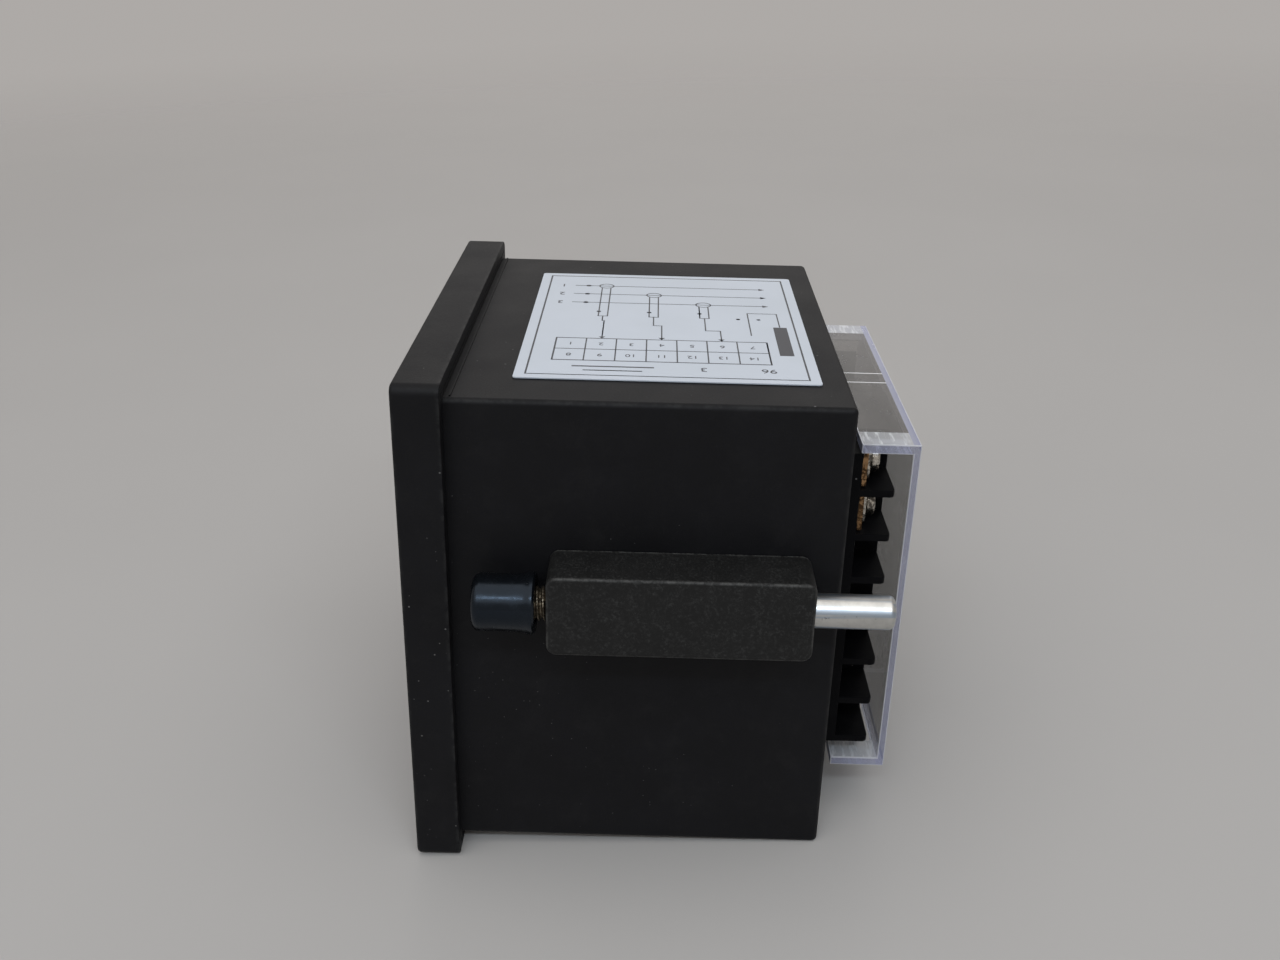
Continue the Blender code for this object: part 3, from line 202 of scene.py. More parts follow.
class StageSettings(bpy.types.PropertyGroup):
    floor: colour("Floor", "Colour of the ground", (0.52, 0.495, 0.475))
    backdrop: colour("Backdrop", "What is seen past the floor", (0.42, 0.4, 0.385))
    top: power("Top light", "Power of the overhead light", 55.0)
    window: power("Window light", "Power of the long near light", 5.6)
    far: power("Far light", "Power of the light behind", 3.2)
    sky: FloatProperty(name="Sky", description="Strength of the light from all round", default=0.2, min=0)


def shade(name):
    """A colour that the finishes give."""
    return tuple(getattr(bpy.context.scene.meter_finishes, name))


def millimetres(group, *names):
    return [getattr(group, name) / MM for name in names]


# Materials
class Sum:
    """A value in a material that takes part in Python sums by adding its Math nodes."""

    def __init__(self, finish, socket):
        self.finish, self.socket = finish, socket

    def math(self, operation, *values):
        node = self.finish.add("ShaderNodeMath", {"operation": operation}, dict(enumerate(values)))
        return Sum(self.finish, node.outputs[0])

    def __add__(self, other):
        return self.math("ADD", self, other)

    __radd__ = __add__

    def __sub__(self, other):
        return self.math("SUBTRACT", self, other)

    def __rsub__(self, other):
        return self.math("SUBTRACT", other, self)

    def __mul__(self, other):
        return self.math("MULTIPLY", self, other)

    __rmul__ = __mul__

    def __lt__(self, other):
        return self.math("LESS_THAN", self, other)

    def least(self, other):
        return self.math("MINIMUM", self, other)

    def most(self, other):
        return self.math("MAXIMUM", self, other)

    def size(self):
        return self.math("ABSOLUTE", self)

    def rise(self, start, end):
        """0 below start and 1 above end, with a smooth slope between; the other way if end is lower."""
        low, high, ends = (start, end, (0, 1)) if start < end else (end, start, (1, 0))
        sockets = {0: self, 1: low, 2: high, 3: ends[0], 4: ends[1]}
        node = self.finish.add("ShaderNodeMapRange", {"interpolation_type": "SMOOTHSTEP"}, sockets)
        return Sum(self.finish, node.outputs[0])


def opaque(tint):
    return (*tint, 1) if isinstance(tint, tuple) else tint


def scaled(tint, share, lift=0.0):
    return tuple(min(1, value * share + lift) for value in tint)


def stretched(axis, long, short):
    """The three sizes of a pattern that is drawn out along one axis."""
    return tuple(long if each == axis else short for each in "XYZ")


class Finish:
    """One procedural material, read in the object's own place, in millimetres."""

    def __init__(self, name):
        self.material = bpy.data.materials.new(name)
        self.material.use_nodes = True
        self.nodes, self.links = self.material.node_tree.nodes, self.material.node_tree.links
        self.nodes.clear()
        self.place = self.add("ShaderNodeTexCoord").outputs["Object"]
        parts = self.add("ShaderNodeSeparateXYZ", None, {0: self.place})
        self.axes = [Sum(self, parts.outputs[i]) * (1 / MM) for i in range(3)]
        self.wear = bpy.context.scene.meter_finishes.wear
        self.dust = bpy.context.scene.meter_finishes.dust

    def add(self, kind, settings=None, sockets=None):
        node = self.nodes.new(kind)
        for key, value in (settings or {}).items():
            setattr(node, key, value)
        for key, value in (sockets or {}).items():
            if isinstance(value, Sum):
                self.links.new(value.socket, node.inputs[key])
            elif isinstance(value, bpy.types.NodeSocket):
                self.links.new(value, node.inputs[key])
            else:
                node.inputs[key].default_value = value
        return node

    def mapped(self, size, turn=(0, 0, 0)):
        """The place scaled so that one unit is size, in millimetres, along each axis."""
        size = size if isinstance(size, tuple) else (size,) * 3
        scale = tuple(1 / (MM * value) for value in size)
        sockets = {"Vector": self.place, "Scale": scale, "Rotation": turn}
        return self.add("ShaderNodeMapping", {"vector_type": "POINT"}, sockets).outputs[0]

    def noise(self, size, detail=2.0, rough=0.5, turn=(0, 0, 0), warp=0.0):
        sockets = {"Vector": self.mapped(size, turn), "Scale": 1.0, "Detail": detail}
        sockets.update({"Roughness": rough, "Distortion": warp})
        return Sum(self, self.add("ShaderNodeTexNoise", None, sockets).outputs[0])

    def specks(self, spacing, radius, share):
        """Round dots: a share of the cells of a loose grid holds one, of mixed sizes up to a radius."""
        cells = self.add("ShaderNodeTexVoronoi", None, {"Vector": self.mapped(spacing), "Scale": 1.0})
        lot = self.add("ShaderNodeSeparateColor", None, {0: cells.outputs["Color"]})
        reach = Sum(self, lot.outputs[0]) * (radius / spacing)
        kept = Sum(self, lot.outputs[1]) < share
        return (reach - Sum(self, cells.outputs["Distance"])).rise(0, 0.15 * radius / spacing) * kept

    def scratches(self, length, width, turn, share=0.5):
        """Thin, slightly wavy marks along one turned direction."""
        line = (self.noise((length, width, width), 1.0, turn=turn, warp=0.4) - 0.5).size()
        where = self.noise(length * 0.7, 2.0, turn=turn).rise(1 - share, 1 - share + 0.08)
        return line.rise(0.012, 0.002) * where

    def edges(self, span, reach):
        """1 on the edges of a box, fading to 0 at a reach from them."""
        walls = []
        for value, (low, high), start in zip(self.axes, span, ORIGIN):
            low, high = low + start / MM, high + start / MM
            walls.append((value - low).least(high - value))
        a, b, c = walls
        second = a.least(b).most(a.most(b).least(c))
        return second.rise(reach, 0)

    def mix(self, share, first, second):
        sockets = {0: share, 6: opaque(first), 7: opaque(second)}
        return self.add("ShaderNodeMix", {"data_type": "RGBA"}, sockets).outputs[2]

    def layers(self, tint, *coats):
        """A colour under coats that are laid over it in turn, each a share and its colour."""
        for share, coat in coats:
            tint = self.mix(share, tint, coat)
        return tint

    def surface(self, tint, roughness, relief, depth, strength=0.5, others=None):
        """The shader, with a relief whose height runs to depth, in millimetres."""
        sockets = {"Height": relief, "Distance": depth * MM, "Strength": strength}
        normal = self.add("ShaderNodeBump", None, sockets).outputs[0]
        sockets = {"Base Color": opaque(tint), "Roughness": roughness, "Normal": normal}
        sockets.update(others or {})
        return self.add("ShaderNodeBsdfPrincipled", None, sockets).outputs[0]

    def done(self, shader):
        self.add("ShaderNodeOutputMaterial", None, {"Surface": shader})
        return self.material

    def coated(self, *values):
        return self.done(self.surface(*values))

    def shared(self, share, first, second):
        """A material that is a share of the second shader and otherwise the first."""
        return self.done(self.add("ShaderNodeMixShader", None, {0: share, 1: first, 2: second}).outputs[0])

    def clear(self, tint=(1, 1, 1)):
        return self.add("ShaderNodeBsdfTransparent", None, {"Color": opaque(tint)}).outputs[0]


def moulded(name, span, share=1.0, reach=0.9, roughness=0.58, gloss=0.18):
    """Matte black moulding with a fine spark-eroded grain, worn edges, rubbed patches and dust."""
    f = Finish(name)
    tint = scaled(shade("moulding"), share)
    grain, fine, cloud = f.noise(0.42, 3.0, 0.6), f.noise(0.13, 2.0), f.noise(14, 3.0, 0.6)
    worn = f.edges(span, reach) * f.noise(2.4, 4.0, 0.65).rise(0.42, 0.62) * f.wear
    rubbed = f.scratches(7, 0.5, (0.3, 0.5, 0.9), 0.42).most(f.scratches(5, 0.4, (1.2, 0.2, 2.2), 0.4))
    gathered = f.noise(26, 2.0).rise(0.47, 0.6)
    dust = f.specks(3.4, 0.22, 0.3).most(f.specks(1.3, 0.18, 0.5) * gathered) * f.dust
    tone = f.layers(
        tint,
        (cloud.rise(0.3, 0.75) * 0.45, scaled(tint, 1.9)),
        (worn * 0.55, WORN_BLACK),
        (rubbed * 0.12, WORN_BLACK),
        (f.noise(9, 5.0, 0.7).rise(0.48, 0.75) * (0.03 * f.dust), (0.2, 0.19, 0.18)),
        (dust * 1.2, DRY_DUST),
    )
    rough = roughness + (cloud - 0.5) * 0.18 + (grain - 0.5) * 0.1 - worn * 0.08 + dust * 0.2
    relief = grain * 0.7 + fine * 0.3 - rubbed * 0.12
    return f.coated(tone, rough, relief, 0.055, 0.55, {"Specular IOR Level": gloss})


def block_moulding(name, span):
    """Coarser clamp moulding, scuffed pale along its edges and corners."""
    f = Finish(name)
    tint = shade("block")
    grain, fine, cloud = f.noise(0.5, 4.0, 0.65), f.noise(0.16, 2.0), f.noise(8, 3.0, 0.6)
    worn = f.edges(span, 0.6) * f.noise(1.3, 4.0, 0.7).rise(0.36, 0.62)
    rub = f.scratches(4, 0.28, (0.2, 0.4, 0.3)).most(f.scratches(3, 0.25, (1.0, 0.9, 1.7), 0.45))
    patches = grain.rise(0.45, 0.7) * f.noise(2.2, 3.0, 0.7).rise(0.3, 0.65)
    tone = f.layers(
        tint,
        (cloud.rise(0.3, 0.7) * 0.5, scaled(tint, 1.7)),
        (patches * 0.6, (0.045, 0.045, 0.044)),
        (worn * f.wear, (0.14, 0.138, 0.13)),
        (rub * 0.25, (0.09, 0.09, 0.085)),
        (f.specks(3.6, 0.13, 0.5) * f.dust, (0.3, 0.29, 0.27)),
    )
    relief = grain * 0.75 + fine * 0.25 - rub * 0.2
    return f.coated(tone, 0.56 + (cloud - 0.5) * 0.16, relief, 0.09, 0.7, {"Specular IOR Level": 0.3})


def gloss_rubber(name):
    """Smooth dip-moulded black with faint lengthwise ripples, finger marks and dust."""
    f = Finish(name)
    ripple, smear = f.noise((1.5, 7, 1.5), 2.0), f.noise(2.6, 4.0, 0.7)
    dust = f.specks(1.9, 0.07, 0.5) * f.dust
    tone = f.mix(dust, shade("rubber"), (0.25, 0.25, 0.25))
    rough = 0.2 + smear.rise(0.4, 0.75) * 0.16 + dust * 0.4
    sheen = {"Specular IOR Level": 0.36, "Specular Tint": (0.62, 0.78, 1.0, 1)}
    return f.coated(tone, rough, ripple * 0.8 + smear * 0.2, 0.04, 0.5, sheen)


def plated(name, tint, roughness, drawn="Y", stains_and_shade=0.5, stain_and_shade_colour=(0.16, 0.15, 0.15), clean=0.62, bands=0.0):
    """Bright plating with fine drawn lines, cloudy patches, dark marks and, at will, bluish bands of painted
    reflection; on the terminals the dark marks are painted shade.
    """
    f = Finish(name)
    lines, cloud = f.noise(stretched(drawn, 9.0, 0.16), 3.0, 0.6), f.noise(3.5, 4.0, 0.65)
    spots, fields = f.noise(0.9, 4.0, 0.7), f.noise(4.2, 2.0)
    # The dark marks are stains; where they cover most of the metal, as on the terminals, they are painted
    # shade
    marks = spots.rise(clean, clean + 0.1) * fields.rise(clean - 0.17, clean) * stains_and_shade
    tone = f.mix(cloud.rise(0.35, 0.7) * 0.6, tint, scaled(tint, 0.72))
    # Bluish bands along the drawn direction are painted reflection
    if bands:
        wide = f.noise(stretched(drawn, 45.0, 1.3), 2.0, 0.6)
        tone = f.mix(wide.rise(0.46, 0.6) * bands, tone, PAINTED_BLUE_REFLECTION)
    tone = f.mix(marks, tone, stain_and_shade_colour)
    rough = roughness + (cloud - 0.5) * 0.16 + (lines - 0.5) * 0.12 + marks * 0.2
    return f.coated(tone, rough, lines * 0.7 + cloud * 0.3, 0.012, 0.5, {"Metallic": 1.0})


def label_film(name):
    """Printed polyester film: slightly wavy, a little yellowed and rubbed at its edges."""
    f = Finish(name)
    tint = shade("film")
    across, along, up = span_of("wiring_label")
    wave, pulp, cloud = f.noise(13, 2.0), f.noise(0.5, 3.0), f.noise(22, 3.0, 0.6)
    border = f.edges((across, along, grown(up, 50)), 1.4) * f.noise(1.9, 4.0, 0.7).rise(0.45, 0.7)
    yellowed = (*scaled(tint[:2], 0.95), tint[2] * 0.93)
    tone = f.layers(
        tint,
        (cloud.rise(0.35, 0.7) * 0.5, yellowed),
        (border * 0.35, (0.42, 0.42, 0.42)),
        (f.specks(2.6, 0.09, 0.35) * 0.5, (0.2, 0.19, 0.18)),
    )
    rough = 0.34 + (cloud - 0.5) * 0.14 + (pulp - 0.5) * 0.06
    return f.coated(tone, rough, wave * 0.9 + pulp * 0.1, 0.05, 0.35, {"Specular IOR Level": 0.45})


def printed_ink(name):
    """Dark print with small gaps where it has rubbed thin."""
    f = Finish(name)
    thin = f.noise(0.35, 3.0, 0.7).rise(0.62, 0.78)
    return f.coated(f.mix(thin * 0.55, shade("ink"), (0.2, 0.21, 0.24)), 0.45 + thin * 0.15, thin, 0.004)


def clear_plastic(name, tint, body, haze, reflection_streaks=0.0, gloss=1.6, rib=0.0, wear=1.0):
    """Clear moulding: it lets the view through, and shows its gloss, scratches and tinted edges, with, at
    will, pale streaks of painted reflection and painted highlights over the rib edges.
    """
    f = Finish(name)
    cuts = f.scratches(9, 0.22, (0.1, 0.3, 0.5), 0.42).most(f.scratches(6, 0.18, (0.8, 0.2, 1.9), 0.4)) * wear
    cloud, wave = f.noise(7, 4.0, 0.65), f.noise(16, 1.0)
    pale = f.mix(cuts * 0.5, body, (0.85, 0.86, 0.9))
    line = 0.0
    # Pale lines over the rib edges are painted highlights
    if rib:
        line = (f.axes[0].size() - rib / 2).size().rise(0.3, 0.12)
        pale = f.mix(line, pale, (0.8, 0.79, 0.8))
    rough = 0.08 + cloud.rise(0.4, 0.8) * 0.1 + cuts * 0.3
    relief = wave * 0.8 + cloud * 0.05 - cuts * 0.15
    solid = f.surface(pale, rough, relief, 0.12, 0.5, {"Specular IOR Level": 0.8, "IOR": gloss})
    slope = Sum(f, f.add("ShaderNodeLayerWeight", None, {"Blend": 0.5}).outputs["Facing"])
    share = slope * slope * slope * 0.85 + haze + cuts * 0.3 + f.specks(2.8, 0.1, 0.5) * (0.4 * wear)
    # Pale streaks of painted reflection
    if reflection_streaks:
        share = share + f.noise((7, 1.1, 1.6), 3.0, 0.6).rise(0.48, 0.66) * reflection_streaks
    if rib:
        share = share + line * 0.6
    return f.shared(share.least(1.0), f.clear(tint), solid)


def plain_part(name, tint, roughness=0.45, metallic=0.0, grain=0.3, depth=0.03, mottle=0.25, lines=None):
    """A part inside the case: its own colour, mottled, with a fine grain and a little dust."""
    f = Finish(name)
    relief, cloud = f.noise(grain, 3.0, 0.6), f.noise(3.2, 3.0, 0.6)
    tone = f.mix(cloud.rise(0.3, 0.7) * mottle, tint, scaled(tint, 0.6))
    if lines:
        layers = f.noise(stretched(lines, 0.35, 30.0), 1.0)
        tone = f.mix(layers.rise(0.45, 0.6) * 0.4, tone, scaled(tint, 0.5))
        relief = relief * 0.3 + layers * 0.7
    tone = f.mix(f.specks(1.7, 0.07, 0.4) * 0.4, tone, (0.4, 0.39, 0.36))
    return f.coated(tone, roughness + (cloud - 0.5) * 0.16, relief, depth, 0.5, {"Metallic": metallic})


def circuit_board(name, tint):
    """Green lacquer over copper tracks, with pale plated pads."""
    f = Finish(name)
    settings = {"distance": "MANHATTAN", "feature": "F1"}
    cells = f.add("ShaderNodeTexVoronoi", settings, {"Vector": f.mapped(3.4), "Scale": 1.0})
    ramp = Sum(f, cells.outputs["Distance"]) * 6
    tracks = (ramp.math("FRACT", ramp) - 0.5).size().rise(0.3, 0.22)
    pads = f.specks(2.6, 0.9, 0.35)
    tone = f.layers(tint, (tracks * 0.6, scaled(tint, 2.1, 0.01)), (pads, (0.6, 0.6, 0.58)))
    return f.coated(tone, 0.32 + f.noise(2.2, 3.0) * 0.15, tracks * 0.7 + pads * 0.3, 0.03)


# Modelling by hand
def deselect():
    if bpy.context.object and bpy.context.object.mode != "OBJECT":
        bpy.ops.object.mode_set(mode="OBJECT")
    bpy.ops.object.select_all(action="DESELECT")


def take(*pieces):
    """Selects these pieces alone, the first as the active one."""
    deselect()
    for piece in pieces:
        piece.select_set(True)
    bpy.context.view_layer.objects.active = pieces[0]


def named(name):
    piece = bpy.context.object
    piece.name = piece.data.name = name
    return piece


def freeze(piece):
    take(piece)
    bpy.ops.object.transform_apply(location=True, rotation=True, scale=True)
    return piece


def block(name, *spans):
    """A box between three pairs of limits."""
    deselect()
    bpy.ops.mesh.primitive_cube_add(size=1, location=[mid(span) for span in spans])
    piece = named(name)
    piece.scale = [abs(span[1] - span[0]) for span in spans]
    return freeze(piece)


def round_bar(name, radius, along, centre=(0, 0), corners=64):
    """A round or many-sided bar along Y."""
    deselect()
    bpy.ops.mesh.primitive_cylinder_add(
        vertices=corners,
        radius=radius,
        depth=abs(along[1] - along[0]),
        location=(centre[0], mid(along), centre[1]),
        rotation=(math.pi / 2, 0, 0),
    )
    return freeze(named(name))


def hexagon(name, width, along, centre=(0, 0)):
    """A six-sided bar along Y, given the distance between its flats."""
    return round_bar(name, width / 2 / math.cos(math.pi / 6), along, centre, 6)


def edit(piece, kind=None, action="SELECT"):
    """Opens edit mode with all of the mesh selected, or nothing."""
    take(piece)
    bpy.ops.object.mode_set(mode="EDIT")
    if kind:
        bpy.ops.mesh.select_mode(type=kind)
    bpy.ops.mesh.select_all(action=action)


def pick(piece, kind, test):
    """Opens edit mode with only the vertices, edges or faces that pass a test selected."""
    edit(piece, kind, "DESELECT")
    bm = bmesh.from_edit_mesh(piece.data)
    for part in {"VERT": bm.verts, "EDGE": bm.edges, "FACE": bm.faces}[kind]:
        if test(part):
            part.select = True
    bm.select_flush_mode()
    bmesh.update_edit_mesh(piece.data)


def close():
    bpy.ops.object.mode_set(mode="OBJECT")


def middle(part):
    return sum((vert.co for vert in part.verts), Vector()) / len(part.verts)


def runs(axis):
    """Tests whether an edge runs along an axis."""

    def test(edge):
        line = edge.verts[1].co - edge.verts[0].co
        return line.length > 1e-6 and abs(line.normalized().dot(AXES[axis])) > 0.999

    return test


def lies(axis, *values):
    """Tests whether all of an edge or face lies on one of some planes across an axis."""

    def test(part):
        places = [vert.co.dot(AXES[axis]) for vert in part.verts]
        return any(all(abs(place - value) < SLACK for place in places) for value in values)

    return test


def looks_along_y(face):
    return abs(face.normal.y) > 0.9


def remove(piece, test):
    pick(piece, "FACE", test)
    bpy.ops.mesh.delete(type="FACE")
    close()


def round_over(piece, test, radius, segments=4):
    pick(piece, "EDGE", test)
    bpy.ops.mesh.bevel(offset_type="OFFSET", offset=radius, segments=segments, profile=0.5, affect="EDGES")
    close()


def tidy(piece):
    """Welds a mesh and turns its faces outwards."""
    edit(piece)
    bpy.ops.mesh.remove_doubles(threshold=SLACK)
    bpy.ops.mesh.normals_make_consistent(inside=False)
    close()
    return piece


def apply(piece, kind, name, **settings):
    modifier = piece.modifiers.new(name, kind)
    for key, value in settings.items():
        setattr(modifier, key, value)
    take(piece)
    bpy.ops.object.modifier_apply(modifier=name)
    return piece


def walled(piece, thickness):
    return apply(piece, "SOLIDIFY", "Wall", thickness=thickness, offset=-1, use_even_offset=True)


def carve(piece, tool, operation="DIFFERENCE"):
    apply(piece, "BOOLEAN", operation.title(), operation=operation, object=tool, solver="EXACT")
    take(tool)
    bpy.ops.object.delete()


def soften(piece, radius, angle=40):
    """Rounds every sharp edge a little, so that it catches the light."""
    settings = {"width": radius, "segments": 2, "limit_method": "ANGLE", "harden_normals": False}
    settings.update(angle_limit=math.radians(angle), use_clamp_overlap=True)
    return apply(piece, "BEVEL", "Soft edges", **settings)


def join(first, *others):
    take(first, *others)
    bpy.ops.object.join()
    return first


def copy(piece, name, shift=(0, 0, 0), mirror=False):
    """A copy with its own mesh, moved, or turned over from the right side to the left."""
    twin = piece.copy()
    twin.data = piece.data.copy()
    twin.name = twin.data.name = name
    bpy.context.scene.collection.objects.link(twin)
    twin.location = shift
    if mirror:
        twin.scale.x = -1
    freeze(twin)
    return tidy(twin) if mirror else twin


def outline(name, points):
    """A chain of edges through points, drawn out from one vertex."""
    deselect()
    bpy.ops.mesh.primitive_plane_add(size=1, location=points[0])
    piece = freeze(named(name))
    edit(piece, "VERT")
    bpy.ops.mesh.merge(type="CENTER")
    for before, after in zip(points, points[1:]):
        step = Vector(after) - Vector(before)
        bpy.ops.mesh.extrude_vertices_move(TRANSFORM_OT_translate={"value": step})
    close()
    return piece


def turned(name, profile, centre, steps=72):
    """A round piece on an axis along Y, spun from (radius, place) pairs."""
    x, z = centre
    piece = outline(name, [(x + radius, along, z) for radius, along in profile])
    edit(piece)
    bpy.ops.mesh.spin(steps=steps, angle=math.tau, center=(x, 0, z), axis=(0, 1, 0))
    close()
    return tidy(piece)


def arc(centre, radius, start, end, steps):
    """Points of a quarter round in a profile, in degrees."""
    angles = [math.radians(start + (end - start) * step / steps) for step in range(steps + 1)]
    return [(centre[0] + radius * math.cos(a), centre[1] + radius * math.sin(a)) for a in angles]


def settle(piece, body, slot, material, *nodes):
    """Sets a finished piece down in the frame at its real size, on its body and in its material."""
    take(piece)
    bpy.ops.object.shade_smooth_by_angle(angle=math.radians(30))
    apply(piece, "WEIGHTED_NORMAL", "Flat faces", keep_sharp=True, weight=100)
    piece.scale = (MM,) * 3
    piece.location = ORIGIN
    freeze(piece)
    if not piece.data.materials:
        piece.data.materials.append(material)
    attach(piece, body)
    if nodes:
        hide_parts(*nodes)


def dress(node, material):
    """Gives a node that keeps its own shape a new material."""
    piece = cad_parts[node]
    if not piece.material_slots:
        piece.data.materials.append(material)
    for place in piece.material_slots:
        place.material = material


# Pieces
class METER_OT_bezel(bpy.types.Operator):
    """Models the square bezel that carries the window"""

    bl_idname = "meter.bezel"
    bl_label = "Bezel"

    def execute(self, context):
        sizes = context.scene.meter_housing
        corner, edge, border = millimetres(sizes, "bezel_corner", "bezel_edge", "bezel_border")
        span, pane, case = span_of("bezel"), span_of("window"), span_of("case_shell")
        half, front, rim = span[0][1], span[1][0], case[0][1] + GAP
        bezel = block("bezel_frame", *span)
        round_over(bezel, runs("Y"), corner, 8)
        round_over(bezel, lies("Y", front), edge)
        round_over(bezel, lies("Y", 0), 0.25, 2)
        # the opening, then the seats of the pane, the case's front end and its locating rim
        for reach, start in (
            (half - border, front - PAST),
            (pane[0][1] + GAP, pane[1][0] - GAP),
            (rim - RIM, case[1][0] - GAP),
            (rim, -1.0),
        ):
            carve(bezel, block("seat", about(0, reach), (start, PAST), about(0, reach)))

        def opening(part):
            place = middle(part)
            inside = max(abs(place.x), abs(place.z)) < half - border + 0.1
            return inside and lies("Y", front)(part)

        round_over(bezel, opening, edge * 0.6, 3)
        settle(bezel, "meter", "black_moulding", moulded("bezel_moulding", span), "bezel")
        return {"FINISHED"}


class METER_OT_case(bpy.types.Operator):
    """Models the deep case with its locating rim, board rails and the lugs for the cover"""

    bl_idname = "meter.case"
    bl_label = "Case"

    def execute(self, context):
        edge, wall = millimetres(context.scene.meter_housing, "case_edge", "case_wall")
        rim, along, _ = span_of("case_shell")
        half = rim[1] - RIM
        back = span_of("terminal_strip_right")[1][0] - GAP
        span = (about(0, half), (along[0], back), about(0, half))
        case = block("case_moulding", *span)
        ridge = block("case_ridge", about(0, half - 1.2), (0.85, 1.2), (half - 0.3, half + 0.25))
        remove(case, lies("Y", along[0]))
        round_over(case, runs("Y"), edge, 5)
        round_over(case, lies("Y", back), edge, 5)
        walled(case, wall)
        lip = block("case_rim", rim, (-0.7, 0), rim)
        remove(lip, looks_along_y)
        walled(lip, rim[1] - half + wall / 2)
        # the corner bosses for the display board, rails for the main board and bosses for the rear one
        boss, boss_depth, rail, rail_height, rail_inset, stud = 8, 12, 3, 1.5, 6, 3.5
        inner, root = half - wall, half - wall / 2
        details = []
        boss_front = span_of("display_board")[1][1] + GAP
        for x in SIDES:
            for z in SIDES:
                corner = [sided(side, inner - boss, root) for side in (x, z)]
                spans = corner[0], (boss_front, boss_front + boss_depth), corner[1]
                details.append(block("case_boss", *spans))
        _, deep, level = span_of("main_board")
        for x in SIDES:
            for side, foot in ((-1, GAP - level[0]), (1, GAP + level[1])):
                spans = sided(x, inner - rail, root), grown(deep, -rail_inset)
                details.append(block("case_rail", *spans, sided(side, foot, foot + rail_height)))
        seat = span_of("terminal_board")[1][1] + GAP
        for number in (1, 2):
            _, height = axis_of(span_of(f"terminal_board_screw_{number}"))
            spans = about(0, stud), (seat, back - wall / 2), about(height, stud)
            details.append(block("case_board_boss", *spans))
        # the lugs end inside the cover's ribs
        lug_top, lug_height, lug_width = span_of("terminal_cover")[2][1] - 2.3, 2, 5
        for z in SIDES:
            spans = (back - wall / 2, along[1]), sided(z, lug_top - lug_height, lug_top)
            lug = block("case_lug", about(0, lug_width / 2), *spans)
            details.append(soften(lug, 0.3))
        join(case, lip, soften(ridge, 0.08), *details)
        settle(case, "meter", "black_moulding", moulded("case_moulding", span), "case_shell")
        return {"FINISHED"}


class METER_OT_window(bpy.types.Operator):
    """Finishes the smoked window pane and the mask behind it"""

    bl_idname = "meter.window"
    bl_label = "Window"

    def execute(self, context):
        pane = soften(block("window_pane", *span_of("window")), 0.2)
        smoke = clear_plastic("smoked_window", (0.62, 0.2, 0.2), (0.012, 0.002, 0.002), 0.05, wear=0.12)
        settle(pane, "meter", "smoked_acrylic", smoke, "window")
        dress("display_mask", plain_part("mask_black", (0.008, 0.008, 0.009), grain=0.4, depth=0.006))
        return {"FINISHED"}


class METER_OT_digits(bpy.types.Operator):
    """Models the four unlit seven-segment digits"""

    bl_idname = "meter.digits"
    bl_label = "Digits"

    def bar(self, name, reach, width, upright):
        """A long bar with pointed ends, stretched out from a six-sided disc."""
        piece = hexagon(name, width, about(0, DIGIT_BAR / 2))
        for side in SIDES:
            pick(piece, "VERT", lambda vert: vert.co.z * side > 0.01)
            bpy.ops.transform.translate(value=(0, 0, side * (reach - width) / 2))
            close()
        if not upright:
            piece.rotation_euler.y = math.pi / 2
            freeze(piece)
        return piece

    def execute(self, context):
        sizes = context.scene.meter_display
        stroke, wide, tall = millimetres(sizes, "stroke", "figure_width", "figure_height")
        across, along, up = span_of("display_digit_1")
        centre = Vector((mid(across), along[0], mid(up)))
        body = soften(block("digit_face_1", across, (along[0] + 0.1, along[1]), up), 0.35)
        bars = []
        for name, x, z in (
            ("top", 0, tall / 2),
            ("middle", 0, 0),
            ("bottom", 0, -tall / 2),
            ("upper_left", -wide / 2, tall / 4),
            ("upper_right", wide / 2, tall / 4),
            ("lower_left", -wide / 2, -tall / 4),
            ("lower_right", wide / 2, -tall / 4),
        ):
            upright = x != 0
            bar = self.bar(f"bar_{name}", (tall / 2 if upright else wide) - stroke * 0.2, stroke, upright)
            bar.location = centre + Vector((x + z * math.tan(sizes.slant), DIGIT_BAR / 2, z))
            bars.append(freeze(bar))
        corner = (centre.x + wide / 2 + stroke * 0.75, centre.z - tall / 2)
        bars.append(round_bar("bar_point", stroke * 0.55, (centre.y, centre.y + DIGIT_BAR), corner, 24))
        lens = plain_part("bar_lens", (0.6, 0.52, 0.5), 0.35, grain=0.5, depth=0.02, mottle=0.1)
        face = plain_part("digit_grey", (0.05, 0.05, 0.052), 0.42, depth=0.02)
        bars = join(*bars)
        body.data.materials.append(face)
        bars.data.materials.append(lens)
        join(body, bars)
        twins = [body]
        for number in range(2, 5):
            other = span_of(f"display_digit_{number}")[0]
            twins.append(copy(body, f"digit_face_{number}", (other[0] - across[0], 0, 0)))
        for number, twin in enumerate(twins, 1):
            settle(twin, "meter", "digit_face", face, f"display_digit_{number}")
        return {"FINISHED"}


